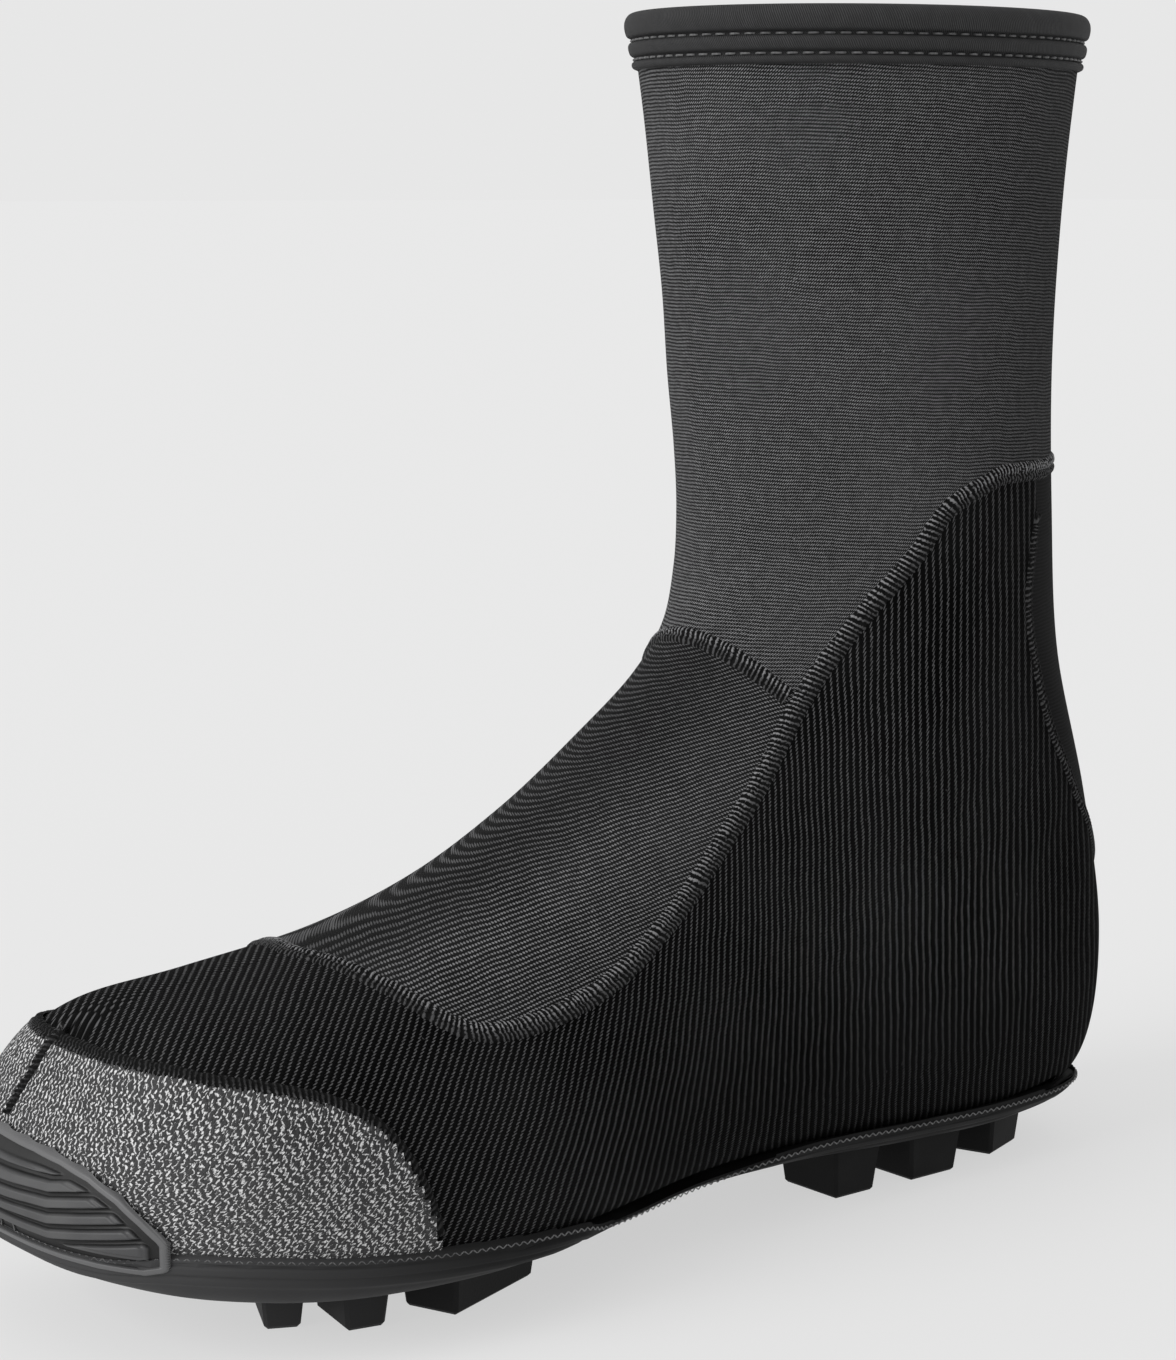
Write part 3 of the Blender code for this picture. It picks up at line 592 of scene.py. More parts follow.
def rib_group() -> bpy.types.NodeTree:
    """Knitted ribs made of short slanted stitches, from pattern coordinates in millimetres."""
    number = "NodeSocketFloat"
    inputs = {
        "Pattern": ("NodeSocketVector", None),
        "Rib Pitch": (number, 2.0),
        "Stitch Pitch": (number, 1.2),
        "Slant": (number, 0.5),
        "Cover": (number, 0.5),
        "Ridge": (number, 0.5),
    }
    outputs = {"Height": number, "Thread": number}
    nodes, given, out = new_group("Knitted ribs", inputs, outputs)
    aside, along, _ = nodes.split(given["Pattern"])
    wobble = nodes.noise(given["Pattern"], 0.07, 2.0)
    across = nodes.math("ADD", aside, nodes.math("MULTIPLY", wobble, 1.3))
    rib = nodes.math("DIVIDE", across, given["Rib Pitch"])
    crest = nodes.math("COSINE", nodes.math("MULTIPLY", rib, 2 * math.pi))
    crest = nodes.math("MULTIPLY_ADD", crest, 0.5, 0.5)
    half = nodes.math("ADD", rib, 0.5)
    row = nodes.math("MULTIPLY", nodes.math("FLOOR", half), 0.37)
    lean = nodes.math("MULTIPLY", nodes.math("FRACT", half), given["Slant"])
    stitch = nodes.math("DIVIDE", along, given["Stitch Pitch"])
    stitch = nodes.math("ADD", nodes.math("ADD", stitch, row), lean)
    loop = nodes.math("COSINE", nodes.math("MULTIPLY", stitch, 2 * math.pi))
    loop = nodes.math("MULTIPLY_ADD", loop, 0.5, 0.5)
    ridge = nodes.math("MULTIPLY", crest, given["Ridge"])
    beads = nodes.math("SUBTRACT", 1.0, given["Ridge"])
    height = nodes.math("MULTIPLY_ADD", loop, beads, ridge)
    nodes.wire(height, out["Height"])
    frayed = nodes.noise(given["Pattern"], 2.6, 2.0)
    mask = nodes.math("MULTIPLY_ADD", frayed, 0.7, nodes.math("ADD", height, -0.35))
    low = nodes.math("SUBTRACT", 0.92, given["Cover"])
    thread = nodes.ramp(mask, low, nodes.math("ADD", low, 0.28))
    broad = nodes.ramp(nodes.noise(given["Pattern"], 0.35, 3.0), 0.25, 0.75)
    broad = nodes.math("MULTIPLY_ADD", broad, 0.35, 0.65)
    nodes.wire(nodes.math("MULTIPLY", thread, broad), out["Thread"])
    return nodes.tree


def fleck_group() -> bpy.types.NodeTree:
    """Coarse heather weave: short light strokes on dark yarn, from pattern coordinates in mm."""
    number = "NodeSocketFloat"
    inputs = {"Pattern": ("NodeSocketVector", None), "Cell": (number, 1.3), "Cover": (number, 0.5)}
    nodes, given, out = new_group("Heather flecks", inputs, {"Height": number, "Fleck": number})
    bend = nodes.add("ShaderNodeTexNoise")
    nodes.wire(given["Pattern"], bend.inputs["Vector"])
    bend.inputs["Scale"].default_value = 0.9
    bent = nodes.add("ShaderNodeVectorMath", operation="MULTIPLY_ADD")
    nodes.wire(bend.outputs["Color"], bent.inputs[0])
    bent.inputs[1].default_value = (1.7, 1.7, 0.0)
    nodes.wire(given["Pattern"], bent.inputs[2])
    u, v, _ = nodes.split(nodes.scaled(bent.outputs[0], nodes.math("DIVIDE", 1.0, given["Cell"])))
    strokes = []
    for lean, offset in ((0.8, 0.0), (-0.9, 0.5)):
        row = nodes.math("FLOOR", nodes.math("ADD", v, offset))
        inside = nodes.math("FRACT", nodes.math("ADD", v, offset))
        shift = nodes.math("MULTIPLY", row, 0.5 + offset)
        phase = nodes.math("MULTIPLY_ADD", inside, lean, nodes.math("ADD", u, shift))
        wave = nodes.math("COSINE", nodes.math("MULTIPLY", phase, 2 * math.pi))
        ends = nodes.math("SINE", nodes.math("MULTIPLY", inside, math.pi))
        stroke = nodes.math("MULTIPLY", nodes.math("MULTIPLY_ADD", wave, 0.5, 0.5), ends)
        strokes.append(stroke)
    lifted = nodes.math("MAXIMUM", strokes[0], strokes[1])
    grain = nodes.noise(given["Pattern"], 2.4, 3.0)
    value = nodes.math("ADD", lifted, nodes.math("MULTIPLY_ADD", grain, 2.0, -1.0))
    low = nodes.math("SUBTRACT", 0.95, given["Cover"])
    nodes.wire(nodes.ramp(value, low, nodes.math("ADD", low, 0.42)), out["Fleck"])
    nodes.wire(nodes.math("MULTIPLY_ADD", lifted, 0.6, nodes.math("MULTIPLY", grain, 0.4)), out["Height"])
    return nodes.tree


def strand_group() -> bpy.types.NodeTree:
    """Threads wound across a seam, from its length and its breadth in millimetres."""
    number = "NodeSocketFloat"
    inputs = {"Pattern": ("NodeSocketVector", None), "Pitch": (number, 1.4), "Half": (number, 2.5)}
    nodes, given, out = new_group("Seam strands", inputs, {"Strand": number, "Hole": number})
    along, aside, _ = nodes.split(given["Pattern"])
    turn = nodes.math("MULTIPLY", nodes.math("DIVIDE", along, given["Pitch"]), 2 * math.pi)
    wave = nodes.math("MULTIPLY_ADD", nodes.math("COSINE", turn), 0.5, 0.5)
    fray = nodes.noise(given["Pattern"], 1.6, 3.0)
    strand = nodes.math("ADD", wave, nodes.math("MULTIPLY_ADD", fray, 2.6, -1.5))
    side = nodes.math("DIVIDE", aside, given["Half"])
    edge = nodes.math("ABSOLUTE", side)
    lane = nodes.ramp(side, -0.25, 0.35)
    lane = nodes.math("MULTIPLY_ADD", lane, -0.7, 1.0)
    nodes.wire(nodes.math("MULTIPLY", nodes.ramp(strand, 0.25, 0.8), lane), out["Strand"])
    # Hole marks the gaps between threads near the edges, which are painted dark as painted shade.
    hole = nodes.math("MULTIPLY", nodes.ramp(edge, 0.62, 0.95), nodes.math("SUBTRACT", 1.0, wave))
    nodes.wire(nodes.ramp(hole, 0.25, 0.6), out["Hole"])
    return nodes.tree


def handling_group() -> bpy.types.NodeTree:
    """Broad unevenness of colour, with a little lint, from object coordinates."""
    number = "NodeSocketFloat"
    inputs = {"Place": ("NodeSocketVector", None), "Amount": (number, 0.2)}
    nodes, given, out = new_group("Handling", inputs, {"Shade": number, "Lint": number})
    broad = nodes.noise(given["Place"], 22.0, 3.0)
    shade = nodes.math("MULTIPLY", nodes.math("SUBTRACT", broad, 0.5), given["Amount"])
    nodes.wire(nodes.math("ADD", shade, 0.5), out["Shade"])
    lint = nodes.ramp(nodes.noise(given["Place"], 900.0, 1.0), 0.76, 0.84)
    nodes.wire(lint, out["Lint"])
    return nodes.tree


def grain_group() -> bpy.types.NodeTree:
    """The fine grain of moulded rubber, from object coordinates."""
    number = "NodeSocketFloat"
    inputs = {"Place": ("NodeSocketVector", None), "Scale": (number, 1.0)}
    nodes, given, out = new_group("Rubber grain", inputs, {"Height": number, "Dust": number})
    sized = nodes.scaled(given["Place"], given["Scale"])
    fine = nodes.noise(sized, 1400.0, 2.0)
    coarse = nodes.noise(sized, 260.0, 3.0)
    nodes.wire(nodes.math("MULTIPLY_ADD", coarse, 0.6, fine), out["Height"])
    nodes.wire(nodes.ramp(nodes.noise(sized, 60.0, 4.0), 0.45, 0.75), out["Dust"])
    return nodes.tree


class Groups:
    """The shader node groups, each built the first time it is asked for."""

    makers: dict[str, Callable[[], bpy.types.NodeTree]] = {
        "ribs": rib_group,
        "flecks": fleck_group,
        "strands": strand_group,
        "handling": handling_group,
        "grain": grain_group,
    }
    built: dict[str, bpy.types.NodeTree] = {}

    @classmethod
    def use(cls, nodes: Nodes, name: str, **values: object) -> bpy.types.Node:
        """Places a group in a material.

        Args:
            nodes: The material's nodes.
            name: The group's short name.
            values: Its inputs by name, with _ for a space.

        Returns:
            The group's node.
        """
        if name not in cls.built:
            cls.built[name] = cls.makers[name]()
        node = nodes.add("ShaderNodeGroup")
        node.node_tree = cls.built[name]
        for key, value in values.items():
            nodes.wire(value, node.inputs[key.replace("_", " ")])
        return node


def start_material(name: str) -> tuple[bpy.types.Material, Nodes, bpy.types.Node]:
    """A new material with its nodes and its Principled shader joined to the output."""
    made = bpy.data.materials.new(name)
    made.use_nodes = True
    nodes = Nodes(made.node_tree)
    shader = nodes.add("ShaderNodeBsdfPrincipled")
    output = nodes.add("ShaderNodeOutputMaterial")
    nodes.wire(shader.outputs[0], output.inputs[0])
    return made, nodes, shader


def bump(nodes: Nodes, shader: bpy.types.Node, height: object, distance: float, strength: float) -> None:
    """Feeds a height in metres' share into the shader's normal."""
    node = nodes.add("ShaderNodeBump")
    node.inputs["Distance"].default_value = distance
    node.inputs["Strength"].default_value = strength
    nodes.wire(height, node.inputs["Height"])
    nodes.wire(node.outputs[0], shader.inputs["Normal"])


def grey(value: float, cool: float = 1.02) -> tuple[float, float, float, float]:
    """A grey of this strength, a little cooler in its blue."""
    return (value, value, value * cool, 1.0)


@dataclass(frozen=True)
class KnitFinish:
    """A ribbed knit of light thread on dark.

    Attributes:
        name: The material's name.
        dark: Grey between the threads.
        light: Grey of the threads.
        rib_pitch: Distance from one rib to the next, in millimetres.
        stitch_pitch: Distance from one stitch to the next along a rib, in millimetres.
        slant: How many stitches each one leans over its rib.
        cover: How much of the cloth the light thread covers.
        ridge: Share of the relief that belongs to the ribs, and not to the stitches.
        depth: Depth of the relief, in metres.
        rough: Roughness.
        shine: Strength of the reflection.
        fade: Painted shade: how much darker the cloth is painted towards the heel and low on the side.
        crest: Painted shade: how much darker it is painted over the middle line.
    """

    name: str
    dark: float
    light: float
    rib_pitch: float
    stitch_pitch: float
    slant: float
    cover: float
    ridge: float
    depth: float
    rough: float = 0.9
    shine: float = 0.08
    fade: float = 0.0
    crest: float = 0.0

    def build(self) -> bpy.types.Material:
        """Makes the material."""
        made, nodes, shader = start_material(self.name)
        pattern = nodes.add("ShaderNodeUVMap", uv_map="pattern")
        place = nodes.add("ShaderNodeTexCoord")
        ribs = Groups.use(
            nodes,
            "ribs",
            Pattern=pattern.outputs[0],
            Rib_Pitch=self.rib_pitch,
            Stitch_Pitch=self.stitch_pitch,
            Slant=self.slant,
            Cover=self.cover,
            Ridge=self.ridge,
        )
        hand = Groups.use(nodes, "handling", Place=place.outputs["Object"], Amount=0.5)
        colour = nodes.mix(ribs.outputs["Thread"], grey(self.dark), grey(self.light))
        tint = nodes.math("SUBTRACT", hand.outputs["Shade"], 0.42)
        colour = nodes.mix(nodes.math("MULTIPLY", tint, 0.4, clamp=True), colour, grey(self.light * 0.7))
        lint = nodes.math("MULTIPLY", hand.outputs["Lint"], 0.3)
        colour = nodes.mix(lint, colour, grey(self.light * 1.6))
        x, y, z = nodes.split(place.outputs["Object"])
        # Painted shade: the cloth is darkened towards the heel and low on the side, by its place.
        heel = nodes.ramp(y, 0.06, 0.14)
        low = nodes.math("SUBTRACT", 1.0, nodes.ramp(z, 0.025, 0.085))
        low = nodes.math("MULTIPLY", low, nodes.ramp(y, -0.07, -0.01))
        deep = nodes.math("MULTIPLY", nodes.math("MAXIMUM", heel, low), self.fade)
        # Painted shade: the cloth is darkened over the middle line, on the ridge.
        ridge = nodes.math("SUBTRACT", 1.0, nodes.ramp(nodes.math("ABSOLUTE", x), 0.006, 0.030))
        deep = nodes.math("MULTIPLY_ADD", ridge, self.crest, deep)
        nodes.wire(nodes.mix(deep, colour, grey(self.dark)), shader.inputs["Base Color"])
        shader.inputs["Roughness"].default_value = self.rough
        shader.inputs["Specular IOR Level"].default_value = self.shine
        bump(nodes, shader, ribs.outputs["Height"], self.depth, 0.9)
        return made


@dataclass(frozen=True)
class HeatherFinish:
    """The coarse weave of the toe cap.

    Attributes:
        name: The material's name.
        dark: Grey of the yarn.
        light: Grey of the strokes on it.
        cell: Size of one stroke's cell, in millimetres.
        cover: How much of the yarn the strokes cover.
    """

    name: str
    dark: float
    light: float
    cell: float
    cover: float

    def build(self) -> bpy.types.Material:
        """Makes the material."""
        made, nodes, shader = start_material(self.name)
        pattern = nodes.add("ShaderNodeUVMap", uv_map="pattern")
        place = nodes.add("ShaderNodeTexCoord")
        flecks = Groups.use(nodes, "flecks", Pattern=pattern.outputs[0], Cell=self.cell, Cover=self.cover)
        hand = Groups.use(nodes, "handling", Place=place.outputs["Object"], Amount=0.5)
        colour = nodes.mix(flecks.outputs["Fleck"], grey(self.dark), grey(self.light, 1.0))
        wear_and_painted_light = nodes.math("SUBTRACT", hand.outputs["Shade"], 0.42)
        wear_and_painted_light = nodes.math("MULTIPLY", wear_and_painted_light, 0.3, clamp=True)
        nodes.wire(nodes.mix(wear_and_painted_light, colour, grey(self.light * 0.8)), shader.inputs["Base Color"])
        shader.inputs["Roughness"].default_value = 0.8
        shader.inputs["Specular IOR Level"].default_value = 0.15
        bump(nodes, shader, flecks.outputs["Height"], 0.0007, 0.9)
        return made


@dataclass(frozen=True)
class SeamFinish:
    """Overlock thread wound over a seam, lighter in one lane than in the other.

    Attributes:
        name: The material's name.
        dark: Grey between the threads.
        light: Grey of the threads.
        pitch: Distance from one thread to the next, in millimetres.
        half: Half the seam's width, in millimetres.
    """

    name: str
    dark: float
    light: float
    pitch: float
    half: float

    def build(self) -> bpy.types.Material:
        """Makes the material."""
        made, nodes, shader = start_material(self.name)
        pattern = nodes.add("ShaderNodeUVMap", uv_map="pattern")
        strands = Groups.use(
            nodes, "strands", Pattern=pattern.outputs[0], Pitch=self.pitch, Half=self.half
        )
        colour = nodes.mix(strands.outputs["Strand"], grey(self.dark), grey(self.light))
        # Painted shade: the gaps between the threads near the seam's edges are painted near black.
        colour = nodes.mix(strands.outputs["Hole"], colour, grey(0.001))
        nodes.wire(colour, shader.inputs["Base Color"])
        shader.inputs["Roughness"].default_value = 0.85
        shader.inputs["Specular IOR Level"].default_value = 0.12
        bump(nodes, shader, strands.outputs["Strand"], 0.0003, 0.8)
        return made


@dataclass(frozen=True)
class RubberFinish:
    """Moulded rubber.

    Attributes:
        name: The material's name.
        colour: Grey of the clean rubber.
        dusty: Grey where dust sits on it.
        roughness: Roughness of the clean rubber.
        grain: Depth of the grain, in metres.
        shine: Strength of the reflection.
        carved: Whether its pattern map says where grooves and a pale rim are; the grooves are painted
            near black as painted shade.
        wear_and_painted_light: Painted light: grey that the rubber is painted lighter to at the toe, or 0
            for none.
    """

    name: str
    colour: float
    dusty: float
    roughness: float
    grain: float
    shine: float = 0.4
    carved: bool = False
    wear_and_painted_light: float = 0.0

    def build(self) -> bpy.types.Material:
        """Makes the material."""
        made, nodes, shader = start_material(self.name)
        place = nodes.add("ShaderNodeTexCoord")
        grain = Groups.use(nodes, "grain", Place=place.outputs["Object"], Scale=1.0)
        spread = nodes.math("MULTIPLY", grain.outputs["Dust"], 0.55)
        colour = nodes.mix(spread, grey(self.colour, 1.03), grey(self.dusty, 1.0))
        if self.wear_and_painted_light:
            # Painted light: the rubber is painted lighter towards the toe, where the light falls.
            _, along, _ = nodes.split(place.outputs["Object"])
            front = nodes.math("SUBTRACT", 1.0, nodes.ramp(along, -0.15, -0.05))
            colour = nodes.mix(front, colour, grey(self.wear_and_painted_light))
        if self.carved:
            pattern = nodes.add("ShaderNodeUVMap", uv_map="pattern")
            share, rim, _ = nodes.split(pattern.outputs[0])
            # Painted shade: the low floors of the grooves are painted near black.
            colour = nodes.mix(nodes.ramp(share, 0.45, 0.80), grey(0.003), colour)
            colour = nodes.mix(rim, colour, grey(self.dusty * 1.5))
        nodes.wire(colour, shader.inputs["Base Color"])
        rough = nodes.math("MULTIPLY_ADD", grain.outputs["Dust"], 0.15, self.roughness)
        nodes.wire(rough, shader.inputs["Roughness"])
        shader.inputs["Specular IOR Level"].default_value = self.shine
        bump(nodes, shader, grain.outputs["Height"], self.grain, 0.5)
        return made


@dataclass(frozen=True)
class ThreadFinish:
    """Twisted sewing thread.

    Attributes:
        name: The material's name.
        colour: Grey of the thread.
        roughness: Roughness.
        twist: Depth of the fine relief, in metres.
    """

    name: str
    colour: float
    roughness: float
    twist: float

    def build(self) -> bpy.types.Material:
        """Makes the material."""
        made, nodes, shader = start_material(self.name)
        place = nodes.add("ShaderNodeTexCoord")
        hand = Groups.use(nodes, "handling", Place=place.outputs["Object"], Amount=0.5)
        fine = nodes.noise(place.outputs["Object"], 1500.0, 2.0)
        deep = (self.colour * 0.55, self.colour * 0.55, self.colour * 0.57, 1.0)
        colour = nodes.mix(nodes.ramp(fine, 0.35, 0.65), deep, grey(self.colour, 1.0))
        lint = nodes.math("MULTIPLY", hand.outputs["Lint"], 0.2)
        colour = nodes.mix(lint, colour, grey(0.25, 1.0))
        nodes.wire(colour, shader.inputs["Base Color"])
        shader.inputs["Roughness"].default_value = self.roughness
        shader.inputs["Sheen Weight"].default_value = 0.1
        bump(nodes, shader, fine, self.twist, 0.6)
        return made


@dataclass
class Finishes:
    """Every material of the overshoe, built once."""

    quarter: bpy.types.Material = field(init=False)
    instep: bpy.types.Material = field(init=False)
    shaft: bpy.types.Material = field(init=False)
    back: bpy.types.Material = field(init=False)
    lining: bpy.types.Material = field(init=False)
    weave: bpy.types.Material = field(init=False)
    seam: bpy.types.Material = field(init=False)
    dark_seam: bpy.types.Material = field(init=False)
    thread: bpy.types.Material = field(init=False)
    tape: bpy.types.Material = field(init=False)
    bumper: bpy.types.Material = field(init=False)
    rand: bpy.types.Material = field(init=False)

    def __post_init__(self) -> None:
        """Builds the materials."""
        # The fade and crest values below paint shade into the knits' colour.
        self.quarter = KnitFinish(
            "quarter_knit", dark=0.0015, light=0.100, rib_pitch=1.75, stitch_pitch=0.9, slant=0.9,
            cover=0.28, ridge=0.66, depth=0.0005, rough=0.95, shine=0.03, fade=0.60,
        ).build()
        self.instep = KnitFinish(
            "instep_knit", dark=0.005, light=0.21, rib_pitch=0.92, stitch_pitch=0.72, slant=0.9,
            cover=0.37, ridge=0.58, depth=0.0003, crest=0.6,
        ).build()
        self.shaft = KnitFinish(
            "shaft_knit", dark=0.005, light=0.26, rib_pitch=0.86, stitch_pitch=0.70, slant=1.3,
            cover=0.37, ridge=0.42, depth=0.0003, fade=0.7,
        ).build()
        # The back panel's near-black greys are partly the cloth's own colour and partly painted shade on
        # the rear.
        self.back = KnitFinish(
            "back_knit", dark=0.003, light=0.012, rib_pitch=0.9, stitch_pitch=0.7, slant=0.3,
            cover=0.4, ridge=0.5, depth=0.0001,
        ).build()
        self.lining = KnitFinish(
            "lining_knit", dark=0.010, light=0.040, rib_pitch=1.4, stitch_pitch=1.2, slant=0.2,
            cover=0.5, ridge=0.5, depth=0.0002,
        ).build()
        self.tape = KnitFinish(
            "binding_tape", dark=0.016, light=0.050, rib_pitch=0.55, stitch_pitch=3.0, slant=1.2,
            cover=0.6, ridge=0.8, depth=0.0001, rough=0.75, shine=0.12,
        ).build()
        self.weave = HeatherFinish("toe_weave", dark=0.030, light=0.62, cell=1.40, cover=0.36).build()
        self.seam = SeamFinish("seam_overlock", dark=0.003, light=0.19, pitch=1.3, half=2.6).build()
        self.dark_seam = SeamFinish("cap_overlock", dark=0.003, light=0.060, pitch=1.3, half=2.2).build()
        self.thread = ThreadFinish("seam_thread", colour=0.120, roughness=0.70, twist=0.0001).build()
        self.bumper = RubberFinish(
            "bumper_rubber", colour=0.045, dusty=0.085, roughness=0.50, grain=0.00006, carved=True
        ).build()
        self.rand = RubberFinish(
            "sole_rubber", colour=0.005, dusty=0.018, roughness=0.66, grain=0.00010, shine=0.12,
            wear_and_painted_light=0.045,
        ).build()


def inside_side_line(
    skin: Skin, line: tuple[SidePoint, ...], points: np.ndarray, inset: float
) -> np.ndarray:
    """Whether points lie under a side-view line and short of its rear end.

    Args:
        skin: The skin, which knows where the line lies.
        line: The line.
        points: The points, with a last axis of 3.
        inset: How far inside they have to be.

    Returns:
        True for each point inside.
    """
    y, z = skin.side_line(line)
    top = np.interp(points[..., 1] + inset, y, z)
    return (points[..., 2] < top - inset) & (points[..., 1] < y[-1] - inset)


def folded(turn: np.ndarray) -> np.ndarray:
    """Turns in degrees, mirrored to 0 to 180."""
    degrees = np.degrees(turn) % 360
    return 180 - np.abs(180 - degrees)


@dataclass
class Upper:
    """The knitted bootee: its outside panels and its lining.

    Attributes:
        shop: Where pieces are made.
        finishes: The materials.
        lift: Distance of the outside cloth from the skin.
        stations: Strips of the panels' grid from the toe to the collar.
        turns: Strips of it round the foot.
    """

    shop: Workshop
    finishes: Finishes
    lift: float = 0.0
    stations: int = 340
    turns: int = 232

    def region(self, station: np.ndarray, turn: np.ndarray) -> np.ndarray:
        """The panel of each place, as an index into Region."""
        angle = folded(turn)
        side_s, side_t = Skin.path(SIDE_SEAM, 300)
        side = np.interp(station, side_s, np.degrees(side_t))
        over_s, over_t = Skin.path(INSTEP_SEAM, 40)
        top = np.interp(angle, np.degrees(over_t)[::-1], over_s[::-1])
        back_s, back_t = Skin.path(BACK_SEAM[:-1], 80)
        back = np.interp(station, back_s[::-1], np.degrees(back_t)[::-1], left=-1, right=-1)
        back = np.where((station > 14.6) & (station < 15.4), 64, back)
        kinds = list(Region)
        outer = kinds.index(Region.QUARTER)
        found = np.full(station.shape, outer)
        inside = (angle > side) & (station > side_s[0])
        found[inside & (station < top)] = kinds.index(Region.INSTEP)
        found[inside & (station >= top)] = kinds.index(Region.SHAFT)
        found[(angle < back) & (found == outer)] = kinds.index(Region.BACK)
        return found

    def pattern(self, region: Region) -> Callable[[np.ndarray, np.ndarray, np.ndarray], np.ndarray]:
        """The pattern coordinates of a panel: across its ribs and along them, in millimetres."""
        skin = self.shop.skin
        count = 181
        ring = np.radians(np.linspace(0, 360, count))
        levels = np.linspace(0, skin.last, count)
        grid = skin.bare(np.repeat(levels, count), np.tile(ring, count)).reshape(count, count, 3)
        steps = np.linalg.norm(np.diff(grid, axis=1), axis=2)
        around = np.concatenate([np.zeros((count, 1)), np.cumsum(steps, axis=1)], axis=1)
        around -= around[:, [count // 2]]

        def marks(station: np.ndarray, turn: np.ndarray, points: np.ndarray) -> np.ndarray:
            """Pattern coordinates for places and their points."""
            row = np.clip(station, 0, skin.last) / skin.last * (count - 1)
            column = (np.degrees(turn) % 360.0001) / (360 / (count - 1))
            r0 = np.minimum(row.astype(int), count - 2)
            c0 = np.minimum(column.astype(int), count - 2)
            fr, fc = row - r0, column - c0
            arc = (around[r0, c0] * (1 - fc) + around[r0, c0 + 1] * fc) * (1 - fr)
            arc += (around[r0 + 1, c0] * (1 - fc) + around[r0 + 1, c0 + 1] * fc) * fr
            sideways = RIB_WAY[0] * points[:, 0] + RIB_WAY[1] * points[:, 1]
            if region is Region.INSTEP:
                across = points[:, 2] - 0.25 * sideways
                arc = sideways + 0.4 * points[:, 2]
            elif region is Region.SHAFT:
                across = points[:, 2] + 0.05 * points[:, 1]
            elif region is Region.BACK:
                across = points[:, 2]
            else:
                lean = 0.42 - 0.44 * smooth_step(-0.09, 0.06, points[:, 1])
                across = sideways - lean * (points[:, 2] - 0.03)
                arc = 0.7 * np.abs(arc) - 0.6 * points[:, 2]
            return np.stack([across, arc], axis=1) / MM

        return marks

    def panel(self, region: Region, finish: bpy.types.Material) -> bpy.types.Object:
        """Builds one outside panel."""
        wanted = list(Region).index(region)
        skin = self.shop.skin

        def keep(station: np.ndarray, turn: np.ndarray, middle: np.ndarray) -> np.ndarray:
            """Faces of this panel that neither the plate nor the toe cap covers."""
            under_plate = (np.cos(turn) > 0.72) & (station < 10.6)
            under_cap = inside_side_line(skin, TOE_CAP_LINE, middle, 0.0015)
            return (self.region(station, turn) == wanted) & ~(under_plate | under_cap)

        piece = self.shop.sheet(
            f"{region.value}_panel",
            (-0.97, skin.last, self.stations),
            (0.0, 2 * math.pi, self.turns),
            lambda s, t: skin.surface(s, t, self.lift),
            keep,
            self.pattern(region),
            closed=True,
        )
        return self.shop.finish(piece, "ribbed_knit", finish, "upper")

    def lining_sheet(self) -> bpy.types.Object:
        """Builds the inside of the bootee."""
        skin = self.shop.skin
        piece = self.shop.sheet(
            "lining",
            (-0.95, skin.last, 120),
            (0.0, 2 * math.pi, 120),
            lambda s, t: skin.surface(s, t, -0.85 * WALL),
            None,
            self.pattern(Region.BACK),
            closed=True,
            flipped=True,
        )
        return self.shop.finish(piece, "ribbed_knit", self.finishes.lining, "upper")

    def build(self) -> None:
        """Builds every panel and the lining."""
        self.panel(Region.QUARTER, self.finishes.quarter)
        self.panel(Region.INSTEP, self.finishes.instep)
        self.panel(Region.SHAFT, self.finishes.shaft)
        self.panel(Region.BACK, self.finishes.back)
        self.lining_sheet()


